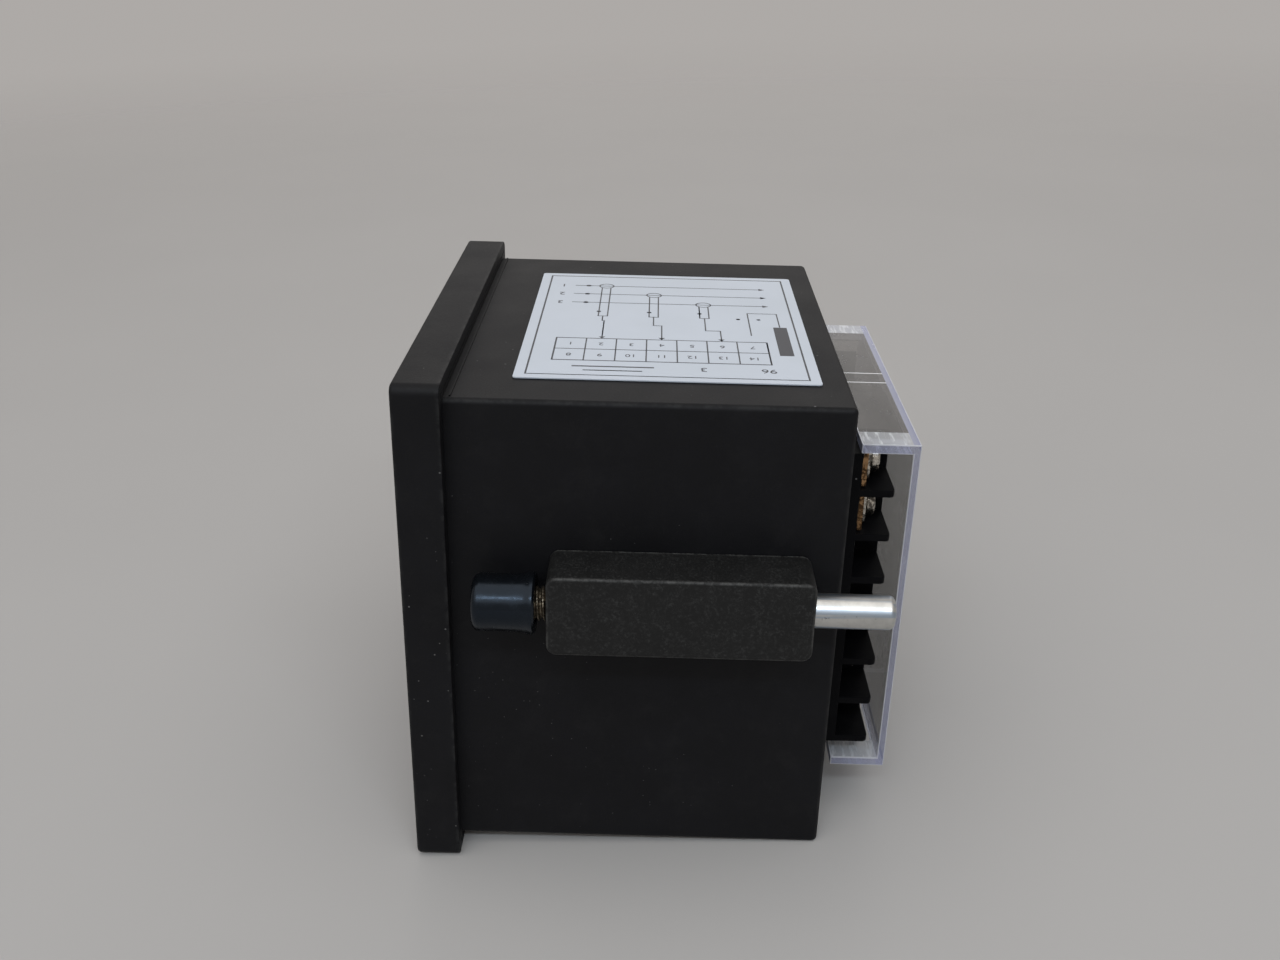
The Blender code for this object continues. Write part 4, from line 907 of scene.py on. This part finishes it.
class METER_OT_strips(bpy.types.Operator):
    """Models the two terminal strips with their barriers"""

    bl_idname = "meter.strips"
    bl_label = "Terminal strips"

    def execute(self, context):
        corner, edge = millimetres(context.scene.meter_terminals, "barrier_corner", "barrier_edge")
        span, plate = span_of("terminal_strip_right"), span_of("terminal_plate_1")
        across, along, up = span
        floor, cell, tip = plate[1][1] - 1.1, plate[0][0] - GAP, along[1] - 0.02
        pitch = (up[1] - up[0] + GAP) / CELLS
        strip = block("strip_right", across, (along[0], floor), up)
        spine = block("strip_spine", (across[0], cell), (along[0] + 0.2, along[1]), grown(up, -0.1))

        def outer_corner(part):
            return runs("Z")(part) and lies("Y", tip)(part) and middle(part).x > cell + 1

        barriers = []
        for number in range(CELLS):
            foot = up[0] + number * pitch
            spans = (cell - 0.4, across[1] - 0.02), (along[0] + GAP, tip), (foot + 0.02, foot + 1.4)
            barrier = block("strip_barrier", *spans)
            round_over(barrier, outer_corner, corner, 5)
            barriers.append(soften(barrier, edge))
        for number in (1, 2):
            centre = axis_of(span_of(f"terminal_screw_{number}"))
            carve(strip, round_bar("screw_hole", SCREW_HOLE, (along[0] - PAST, floor + PAST), centre, 32))
        join(soften(strip, edge), soften(spine, edge), *barriers)
        twin = copy(strip, "strip_left", mirror=True)
        finish = moulded("strip_moulding", span, 0.6, 0.4, 0.5, 0.06)
        settle(strip, "meter", "black_moulding", finish, "terminal_strip_right")
        settle(twin, "meter", "black_moulding", finish, "terminal_strip_left")
        return {"FINISHED"}


class METER_OT_terminals(bpy.types.Operator):
    """Models the terminal screws and their square washers, and finishes the brass plates"""

    bl_idname = "meter.terminals"
    bl_label = "Terminals"

    def screw(self, span, seat, width, depth):
        """A round-headed screw with a straight slot."""
        x, (foot, top), _ = span
        centre = axis_of(span)
        radius, shank, edge = (x[1] - x[0]) / 2, 1.75, 0.5
        profile = [(0, foot), (shank - 0.4, foot), (shank, foot + 0.4), (shank, seat)]
        profile += [(radius - 0.1, seat), (radius, seat + 0.1)]
        profile += arc((radius - edge, top - edge), edge, 0, 90, 5) + [(0, top)]
        piece = turned("screw_1", profile, centre, 48)
        carve(piece, block("slot", grown(x, PAST), (top - depth, top + PAST), about(centre[1], width / 2)))
        return piece

    def execute(self, context):
        slot = millimetres(context.scene.meter_terminals, "slot_width", "slot_depth")
        # Dark marks cover most of the nickel and brass: painted shade of the terminal cells, with bright
        # glints left between
        nickel_cell_shade, brass_cell_shade = (0.06, 0.05, 0.042), (0.05, 0.028, 0.014)
        nickel = plated("bright_nickel", shade("nickel"), 0.22, "Y", 0.9, nickel_cell_shade, 0.46)
        brass = plated("terminal_brass_plate", shade("brass"), 0.28, "X", 0.92, brass_cell_shade, 0.42)
        head, flat = span_of("terminal_screw_1"), span_of("terminal_washer_1")
        x, z = axis_of(head)
        home = Vector((x, 0, z))
        screw = self.screw(head, flat[1][1] + GAP, *slot)
        washer = block("washer_1", *flat)
        round_over(washer, runs("Y"), 0.6)
        carve(washer, round_bar("washer_hole", SCREW_HOLE, grown(flat[1], PAST), (x, z), 40))
        soften(washer, 0.1, 50)
        # each screw ends at a turn of its own
        for number, turn in enumerate((0.35, -0.9, 1.2, 0.15), 1):
            x, z = axis_of(span_of(f"terminal_screw_{number}"))
            place = Vector((x, 0, z))
            made = copy(screw, f"head_screw_{number}")
            for step in (Matrix.Translation(-home), Matrix.Rotation(turn, 4, "Y"), Matrix.Translation(place)):
                made.data.transform(step)
            collar = copy(washer, f"square_washer_{number}", place - home)
            settle(made, f"screw_{number}", "nickel", nickel, f"terminal_screw_{number}")
            settle(collar, f"washer_{number}", "nickel", nickel, f"terminal_washer_{number}")
            dress(f"terminal_plate_{number}", brass)
        take(screw, washer)
        bpy.ops.object.delete()
        return {"FINISHED"}


class METER_OT_cover(bpy.types.Operator):
    """Models the clear terminal cover with its thicker end bands and middle ribs"""

    bl_idname = "meter.cover"
    bl_label = "Terminal cover"

    def execute(self, context):
        edge, = millimetres(context.scene.meter_terminals, "cover_edge")
        span = span_of("terminal_cover")
        across, along, up = span
        wall, band, band_step, rib, rib_step = 1.4, 5.8, 0.4, 5.3, 0.6
        inner, floor, side = up[1] - wall, along[1] - wall, across[1] - band
        cover = block("clear_cover", *span)
        # the channel at its height between the end bands, then the thinner middle
        for width, height in ((grown(across, PAST), inner - band_step), (grown(across, -band), inner)):
            carve(cover, block("channel", width, (along[0] - PAST, floor), about(0, height)))
        for z in SIDES:
            heights = sided(z, inner - rib_step, inner + wall / 2)
            deep = (along[0] + GAP, along[1] - wall / 2)
            carve(cover, block("rib", about(0, rib / 2), deep, heights), "UNION")
        soften(cover, edge, 50)
        looks = {
            "wall": dict(tint=(0.93, 0.93, 0.925), body=(0.12, 0.11, 0.1), haze=0.02, gloss=2.2),
            "edge": dict(tint=(0.82, 0.83, 0.93), body=shade("cover_edge"), haze=0.34),
            # band: a pale haze on the end bands, crossed by pale streaks of painted reflection
            "band": dict(tint=(0.9, 0.91, 0.93), body=(0.6, 0.61, 0.64), haze=0.34, reflection_streaks=0.45),
            # line: the small rounded faces of the edges, pale as painted highlights
            "line": dict(tint=(0.92, 0.92, 0.95), body=(0.78, 0.78, 0.84), haze=0.6),
            # top: the top faces are hazed, and their darker tint and dark body are painted shade for the dim
            # view through the top wall
            "top": dict(tint=(0.64, 0.62, 0.605), body=(0.05, 0.045, 0.042), haze=0.5, gloss=1.35, rib=rib),
        }
        finishes = {kind: clear_plastic(f"clear_acrylic_{kind}", **look) for kind, look in looks.items()}
        for finish in finishes.values():
            cover.data.materials.append(finish)
        for axis, value in (("Y", floor), ("Z", inner), ("Z", -inner), ("X", side), ("X", -side)):
            edit(cover)
            bpy.ops.mesh.bisect(plane_co=AXES[axis] * value, plane_no=AXES[axis])
            close()
        order = list(finishes)
        for face in cover.data.polygons:
            x, y, z = face.center
            normal = face.normal
            kinds = {
                # the rounded edge faces take the painted highlight
                "line": max(abs(value) for value in normal) < 0.95,
                "edge": (
                    abs(abs(x) - across[1]) < 0.3
                    or abs(y - along[0]) < 0.3
                    or (y > floor and abs(normal.z) > 0.7)
                    or (abs(z) > inner and normal.y > 0.7)
                ),
                "band": abs(x) > side and y < floor,
                "top": z > up[1] - 0.1 and y < floor,
                "wall": True,
            }
            face.material_index = order.index(next(kind for kind, fits in kinds.items() if fits))
        settle(cover, "cover", "clear_acrylic", finishes["wall"], "terminal_cover")
        return {"FINISHED"}


class METER_OT_label(bpy.types.Operator):
    """Models the wiring label: its film and a plain printed diagram with numbers"""

    bl_idname = "meter.label"
    bl_label = "Wiring label"

    def stroke(self, start, end, width):
        """A flat printed line between two points, as long as they are apart."""
        line = end - start
        deselect()
        bpy.ops.mesh.primitive_plane_add(size=1, location=(start + end) / 2)
        piece = named("stroke")
        piece.scale = (line.length + width, width, 1)
        piece.rotation_euler.z = math.atan2(line.y, line.x)
        return piece

    def spot(self, centre, radius, corners=24, turn=0.0):
        deselect()
        bpy.ops.mesh.primitive_circle_add(
            vertices=corners, radius=radius, fill_type="NGON", location=centre, rotation=(0, 0, turn)
        )
        return named("spot")

    def ring(self, centre, radius, width):
        """A printed circle: a flat disc, inset and opened in its middle."""
        piece = freeze(self.spot(centre, radius + width / 2, 40))
        edit(piece)
        bpy.ops.mesh.inset(thickness=width)
        bpy.ops.mesh.delete(type="FACE")
        close()
        return piece

    def figure(self, text, centre, height):
        """A printed number, read from the far side of the meter."""
        deselect()
        bpy.ops.object.text_add(location=centre, rotation=(0, 0, -math.pi / 2))
        number = bpy.context.object.data
        number.body, number.size = text, height * TEXT_SCALE
        number.align_x, number.align_y = "CENTER", "CENTER"
        number.resolution_u = 3
        bpy.ops.object.convert(target="MESH")
        return named("figure")

    def execute(self, context):
        sizes = context.scene.meter_label
        thin, heavy, height, ink = millimetres(sizes, "line", "heavy_line", "figure", "ink")
        across, along, up = span_of("wiring_label")
        film = block("label_film", across, along, up)
        round_over(film, runs("Z"), 0.6)
        settle(film, "meter", "label_film", label_film("label_polyester"), "wiring_label")
        marks = []

        def at(u, v):
            return Vector((across[0] + u, along[0] + v, up[1]))

        def line(u0, v0, u1, v1, width=thin):
            marks.append(self.stroke(at(u0, v0), at(u1, v1), width))

        def outlined(u0, v0, u1, v1, width):
            corners = ((u0, v0), (u1, v0), (u1, v1), (u0, v1))
            for start, end in zip(corners, corners[1:] + corners[:1]):
                line(*start, *end, width)

        def number(text, u, v, share=1.0):
            marks.append(self.figure(str(text), at(u, v), height * share))

        # the table's left side, top, row height and column width, and where the rings' leads end
        left, top, cell, wide, bus = 44.0, 6.0, 5.6, 6.2, 30.0
        rings = (14.0, 24.0, 34.0)
        outlined(2.0, 2.0, 64.0, 51.2, 0.32)
        # three supply lines along the meter's depth, each with its ring and arrowheads
        for index, (u, ring) in enumerate(zip((9.0, 15.0, 21.0), rings), 1):
            line(u, 7.5, u, 46.0)
            marks.append(self.ring(at(u, ring), 1.5, thin))
            marks.append(self.spot(at(u, 46.4), 0.8, 3))
            marks.append(self.spot(at(u, 10.2), 0.55))
            number(index, u, 5.0)
            for v in (ring - 0.9, ring + 0.9):
                line(u + 1.5, v, bus, v)
            line(bus, ring - 0.9, bus, ring + 0.9)
            marks.append(self.spot(at(27.0, ring - 0.9), 0.45))
        # the terminal table, seven cells in two columns
        outlined(left, top, left + 2 * wide, top + CELLS * cell, 0.3)
        line(left + wide, top, left + wide, top + CELLS * cell)
        for row in range(CELLS):
            if row:
                line(left, top + row * cell, left + 2 * wide, top + row * cell)
            for column in (0, 1):
                place = (left + wide * (column + 0.5), top + (row + 0.5) * cell)
                number(row + 1 + column * CELLS, *place, 0.8)
        # leads from the rings to the table, bent square
        for index, ring in enumerate(rings):
            bend, goal = 33.0 + 2.4 * index, top + (1.5 + 2 * index) * cell
            line(bus, ring, bend, ring)
            line(bend, ring, bend, goal)
            line(bend, goal, left, goal)
            marks.append(self.spot(at(43.2, goal), 0.7, 3, -math.pi / 2))
        # the dark supply bar with its leads, and plain bars and numbers under the table
        line(36.0, 48.4, 50.0, 48.4, 2.6)
        line(26.0, 42.6, 40.0, 42.6)
        line(26.0, 42.6, 26.0, 48.4)
        line(26.0, 48.4, 34.4, 48.4)
        for v in (40.6, 44.6):
            marks.append(self.spot(at(bus, v), 0.4))
        line(59.5, 10.0, 59.5, 24.0, heavy)
        line(61.5, 12.0, 61.5, 22.0, heavy * 0.8)
        number(3, 59.8, 33.0, 1.1)
        number(96, 59.8, 44.5, 1.1)
        drawing = freeze(join(*marks))
        drawing.name = drawing.data.name = "label_print"
        tidy(drawing)
        apply(drawing, "SOLIDIFY", "Ink", thickness=ink, offset=1)
        settle(drawing, "meter", "label_film", printed_ink("label_ink"))
        return {"FINISHED"}


class METER_OT_clamps(bpy.types.Operator):
    """Models both panel clamps: block, threaded rod and rubber cap"""

    bl_idname = "meter.clamps"
    bl_label = "Panel clamps"

    def block_piece(self, corner, edge, centre, radius, inner):
        """The clamp's moulded block with its two pegs and the bore for the rod."""
        across, along, up = span_of("clamp_block_right")
        piece = block("clamp_right", (inner, across[1]), along, up)
        round_over(piece, runs("X"), corner, 6)
        round_over(piece, lies("X", across[1]), edge)
        carve(piece, round_bar("rod_bore", radius + GAP, grown(along, PAST), centre))

        def mouth(part):
            place = middle(part)
            reach = math.dist((place.x, place.z), centre)
            return reach < radius + 0.6 and lies("Y", *along)(part)

        round_over(piece, mouth, 0.2, 2)
        pegs = []
        for share in (0.2, 0.8):
            place = along[0] + share * (along[1] - along[0])
            peg = block("peg", (across[0], inner + 1), about(place, 2.5), about(mid(up), 3))
            pegs.append(soften(peg, 0.4))
        return join(piece, *pegs)

    def rod_piece(self, edge, pitch, depth, centre, radius, finishes):
        """The rod: a true thread at its front end and a smooth rounded rear end."""
        front, back = span_of("clamp_rod_right")[1]
        end = span_of("clamp_block_right")[1][0] + pitch
        core = radius - depth
        profile = [(0, front), (core - 0.3, front), (core, front + 0.3), (core, end + 0.2)]
        profile += [(radius, end + 0.2 + depth), (radius, back - edge)]
        profile += arc((radius - edge, back - edge), edge, 0, 90, 7)[1:]
        # a six-sided socket for the key opens the rear end
        profile += [(1.75, back), (0, back)]
        rod = turned("rod_right", profile, centre)
        carve(rod, hexagon("socket", 3.0, about(back, 2), centre))
        root = core - ROOT_SINK
        ridge = [(root, 0, 0), (radius, 0, pitch * 0.42), (radius, 0, pitch * 0.58), (root, 0, pitch)]
        helix = outline("thread", ridge)
        settings = {"screw_offset": pitch, "iterations": THREAD_TURNS, "steps": 36, "render_steps": 36}
        apply(helix, "SCREW", "Thread", use_merge_vertices=True, merge_threshold=0.001, **settings)
        helix.rotation_euler.x = -math.pi / 2
        helix.location = (centre[0], end - THREAD_TURNS * pitch, centre[1])
        join(rod, tidy(freeze(helix)))
        for finish in finishes:
            rod.data.materials.append(finish)
        for face in rod.data.polygons:
            face.material_index = 1 if face.center.y < end + depth else 0
        return rod

    def cap_piece(self, flare, centre, bore):
        """The glossy cap, domed in front and flared at its open end."""
        x, (front, back), _ = span_of("rod_cap_right")
        radius = (x[1] - x[0]) / 2 - flare
        lip, dome = radius + flare, 1.3
        profile = [(0, front)] + arc((radius - dome, front + dome), dome, -90, 0, 8)
        profile += [(radius - 0.05, front + 4), (radius, back - 3.2), (radius + flare * 0.35, back - 2.0)]
        profile += [(lip, back - 1.1), (lip, back - 0.35), (lip - 0.35, back)]
        profile += [(bore + 0.4, back), (bore, back - 0.4), (bore, front + 1.5), (0, front + 1.5)]
        return turned("cap_right", profile, centre)

    def execute(self, context):
        names = ("block_corner", "block_edge", "rod_edge", "thread_pitch", "thread_depth", "cap_flare")
        corner, edge, rod_edge, pitch, depth, flare = millimetres(context.scene.meter_clamps, *names)
        span = span_of("clamp_rod_right")
        centre, radius = axis_of(span), (span[2][1] - span[2][0]) / 2
        inner = span_of("case_shell")[0][1] - RIM + GAP
        grey, brown = (0.08, 0.08, 0.09), (0.03, 0.022, 0.016)
        # The zinc's bluish bands are painted reflection
        zinc = plated("zinc_plating", shade("zinc"), 0.35, "Y", 0.9, grey, bands=0.75)
        # The threads get a darker, browner plating than the rest of the rod
        dark_thread = plated("greasy_thread", shade("thread"), 0.4, "Y", 0.9, brown, 0.44)
        rubber = gloss_rubber("cap_rubber")
        made = {
            "clamp": self.block_piece(corner, edge, centre, radius, inner),
            "rod": self.rod_piece(rod_edge, pitch, depth, centre, radius, (zinc, dark_thread)),
            "cap": self.cap_piece(flare, centre, radius + GAP),
        }
        # the left clamp is copied before the right one is settled
        for side in ("left", "right"):
            pieces = made
            if side == "left":
                pieces = {name: copy(part, f"{name}_left", mirror=True) for name, part in made.items()}
            across, along, up = span_of(f"clamp_block_{side}")
            outer = (inner, across[1]) if side == "right" else (across[0], -inner)
            finish = block_moulding(f"clamp_grain_{side}", (outer, along, up))
            settle(pieces["clamp"], f"clamp_{side}", "clamp_moulding", finish, f"clamp_block_{side}")
            settle(pieces["rod"], f"rod_{side}", "zinc", zinc, f"clamp_rod_{side}")
            settle(pieces["cap"], f"pad_{side}", "gloss_rubber", rubber, f"rod_cap_{side}")
        return {"FINISHED"}


class METER_OT_insides(bpy.types.Operator):
    """Finishes the boards and the parts inside the case, which keep their own shapes"""

    bl_idname = "meter.insides"
    bl_label = "Insides"

    def execute(self, context):
        boards = ("display_board", "main_board", "terminal_board")
        screws = [f"display_board_screw_{number}" for number in range(1, 5)]
        screws += ["terminal_board_screw_1", "terminal_board_screw_2"]
        black = ["chip_socket", "controller_chip", "display_header", "terminal_header"]
        black += ["rectifier", "regulator"]
        laminated = plain_part("core_laminations", (0.3, 0.3, 0.31), 0.5, 0.9, lines="Y")
        sleeve = plain_part("reservoir_sleeve", (0.01, 0.018, 0.08), 0.35)
        tin = plated("clip_tin", (0.7, 0.7, 0.68), 0.35)
        copper = plated("primary_copper", (0.75, 0.34, 0.18), 0.32, "X", stain_and_shade_colour=(0.15, 0.06, 0.03))
        fired = plain_part("fuse_ceramic", (0.72, 0.72, 0.7), 0.25, mottle=0.15)
        for finish, *nodes in (
            (circuit_board("lacquered_board", (0.012, 0.09, 0.03)), *boards),
            (plain_part("chip_resin", (0.014, 0.014, 0.015), 0.5, grain=0.2), *black),
            (plated("board_screw_steel", (0.6, 0.61, 0.63), 0.3), *screws),
            (laminated, "transformer_core"),
            (plain_part("winding_tape_yellow", (0.55, 0.38, 0.05), lines="Z"), "transformer_winding"),
            (sleeve, "reservoir_capacitor_1", "reservoir_capacitor_2"),
            (plain_part("suppressor_case", (0.52, 0.35, 0.03), 0.4), "suppression_capacitor"),
            (plain_part("varistor_lacquer", (0.02, 0.07, 0.28), 0.4), "varistor"),
            (plain_part("trimmer_case", (0.02, 0.08, 0.33), 0.4), "trimmer_body"),
            (plated("rotor_brass_turned", (0.72, 0.52, 0.22), 0.32, "Z"), "trimmer_rotor"),
            (fired, "fuse"),
            (tin, "fuse_clip_1", "fuse_clip_2"),
            (plain_part("ring_resin", (0.016, 0.016, 0.02)), "current_transformer"),
            (copper, "primary_wire"),
        ):
            for node in nodes:
                dress(node, finish)
        return {"FINISHED"}


class METER_OT_stage(bpy.types.Operator):
    """Sets the pale floor that the meter leans back on, the soft lights and the camera"""

    bl_idname = "meter.stage"
    bl_label = "Stage"

    def floor(self, tint):
        """A wide floor under the bezel's lower rear edge and the case's lower rear edge."""
        foot = span_of("bezel")[2][0]
        rise = span_of("case_shell")[2][0] + RIM - foot
        deselect()
        bpy.ops.mesh.primitive_circle_add(vertices=96, radius=6, fill_type="NGON")
        floor = named("floor")
        floor.rotation_euler.x = math.atan(rise / (span_of("terminal_strip_right")[1][0] - GAP))
        floor.location = ORIGIN + Vector((0, 0, (foot - 0.02) * MM))
        freeze(floor)
        f = Finish("floor_paint")
        cloud, fine = f.noise(160, 3.0, 0.55), f.noise(3, 3.0)
        tone = f.mix(cloud.rise(0.3, 0.7) * 0.35, tint, scaled(tint, 0.95))
        matte = {"Specular IOR Level": 0.2}
        paint = f.surface(tone, 0.7 + (cloud - 0.5) * 0.1, fine, 0.05, 0.3, matte)
        across, along, _ = f.axes
        square = across * across + along * along
        away = square.math("SQRT", square)
        floor.data.materials.append(f.shared(away.rise(*FLOOR_FADE), paint, f.clear()))

    def lamp(self, name, place, wide, tall, power, tint):
        """A soft flat light, wide along the floor and facing the meter."""
        deselect()
        bpy.ops.object.light_add(type="AREA", location=place)
        lamp = named(name)
        lamp.data.shape, lamp.data.size, lamp.data.size_y = "RECTANGLE", wide, tall
        lamp.data.energy, lamp.data.color = power, tint
        lamp.rotation_mode = "QUATERNION"
        lamp.rotation_quaternion = (Vector(place) - Vector((0, 0, 0.04))).to_track_quat("Z", "Y")

    def sky(self, strength, backdrop):
        """Pale light from all round; seen directly, in gloss or through clear pieces, it is the backdrop."""
        world = bpy.data.worlds.new("studio")
        bpy.context.scene.world = world
        world.use_nodes = True
        nodes, links = world.node_tree.nodes, world.node_tree.links
        nodes.clear()
        kinds = ("Background", "Background", "LightPath", "MixShader", "OutputWorld")
        glow, seen, path, mixer, out = (nodes.new(f"ShaderNode{kind}") for kind in kinds)
        glow.inputs["Color"].default_value = (0.93, 0.96, 1.0, 1)
        glow.inputs["Strength"].default_value = strength
        seen.inputs["Color"].default_value = opaque(backdrop)
        seen_by = path.outputs["Is Camera Ray"]
        for kind in ("Is Glossy Ray", "Is Transmission Ray"):
            either = nodes.new("ShaderNodeMath")
            either.operation = "MAXIMUM"
            links.new(seen_by, either.inputs[0])
            links.new(path.outputs[kind], either.inputs[1])
            seen_by = either.outputs[0]
        for index, source in enumerate((seen_by, glow.outputs[0], seen.outputs[0])):
            links.new(source, mixer.inputs[index])
        links.new(mixer.outputs[0], out.inputs["Surface"])

    def camera(self):
        """Above the right side, looking down and across, with the photograph's small roll."""
        deselect()
        bpy.ops.object.camera_add(location=CAMERA_PLACE)
        camera = named("camera")
        side, tilt, roll = (math.radians(turn) for turn in CAMERA_TURNS)
        level = math.cos(tilt)
        back = Vector((math.sin(side) * level, -math.cos(side) * level, math.sin(tilt)))
        right = (-back).cross(AXES["Z"]).normalized()
        up = right.cross(-back)
        right, up = math.cos(roll) * right + math.sin(roll) * up, math.cos(roll) * up - math.sin(roll) * right
        camera.rotation_mode = "QUATERNION"
        camera.rotation_quaternion = Matrix((right, up, back)).transposed().to_quaternion()
        camera.data.sensor_width, camera.data.lens = SENSOR, SENSOR * FOCAL_PIXELS / FRAME_PIXELS
        camera.data.clip_start, camera.data.clip_end = 0.01, 30
        bpy.context.scene.camera = camera

    def execute(self, context):
        settings = context.scene.meter_stage
        self.floor(tuple(settings.floor))
        for name, (place, wide, tall, setting, tint) in LAMPS.items():
            self.lamp(name, place, wide, tall, getattr(settings, setting), tint)
        self.sky(settings.sky, tuple(settings.backdrop))
        self.camera()
        context.scene.view_settings.view_transform = "Standard"
        return {"FINISHED"}


class METER_PT_panel(bpy.types.Panel):
    """Lists the meter's pieces, sizes and finishes"""

    bl_idname = "METER_PT_panel"
    bl_label = "Panel ammeter"
    bl_space_type = "VIEW_3D"
    bl_region_type = "UI"
    bl_category = "Meter"

    def draw(self, context):
        for operator in PIECES:
            self.layout.operator(operator.bl_idname)
        for name in GROUPS:
            group = getattr(context.scene, name)
            box = self.layout.box()
            box.label(text=name.replace("_", " ").capitalize())
            for key in group.bl_rna.properties.keys():
                if key not in ("rna_type", "name"):
                    box.prop(group, key)


GROUPS = {
    "meter_housing": HousingSizes,
    "meter_clamps": ClampSizes,
    "meter_terminals": TerminalSizes,
    "meter_display": DisplaySizes,
    "meter_label": LabelSizes,
    "meter_finishes": Finishes,
    "meter_stage": StageSettings,
}
PIECES = (
    METER_OT_bezel,
    METER_OT_case,
    METER_OT_window,
    METER_OT_digits,
    METER_OT_strips,
    METER_OT_terminals,
    METER_OT_cover,
    METER_OT_label,
    METER_OT_clamps,
    METER_OT_insides,
    METER_OT_stage,
)


def register():
    for kind in (*GROUPS.values(), *PIECES, METER_PT_panel):
        bpy.utils.register_class(kind)
    for name, kind in GROUPS.items():
        setattr(bpy.types.Scene, name, PointerProperty(type=kind))


def unregister():
    for name in GROUPS:
        delattr(bpy.types.Scene, name)
    for kind in reversed((*GROUPS.values(), *PIECES, METER_PT_panel)):
        bpy.utils.unregister_class(kind)


def main():
    register()
    for piece in PIECES:
        group, name = piece.bl_idname.split(".")
        getattr(getattr(bpy.ops, group), name)()


if __name__ == "__main__":
    main()
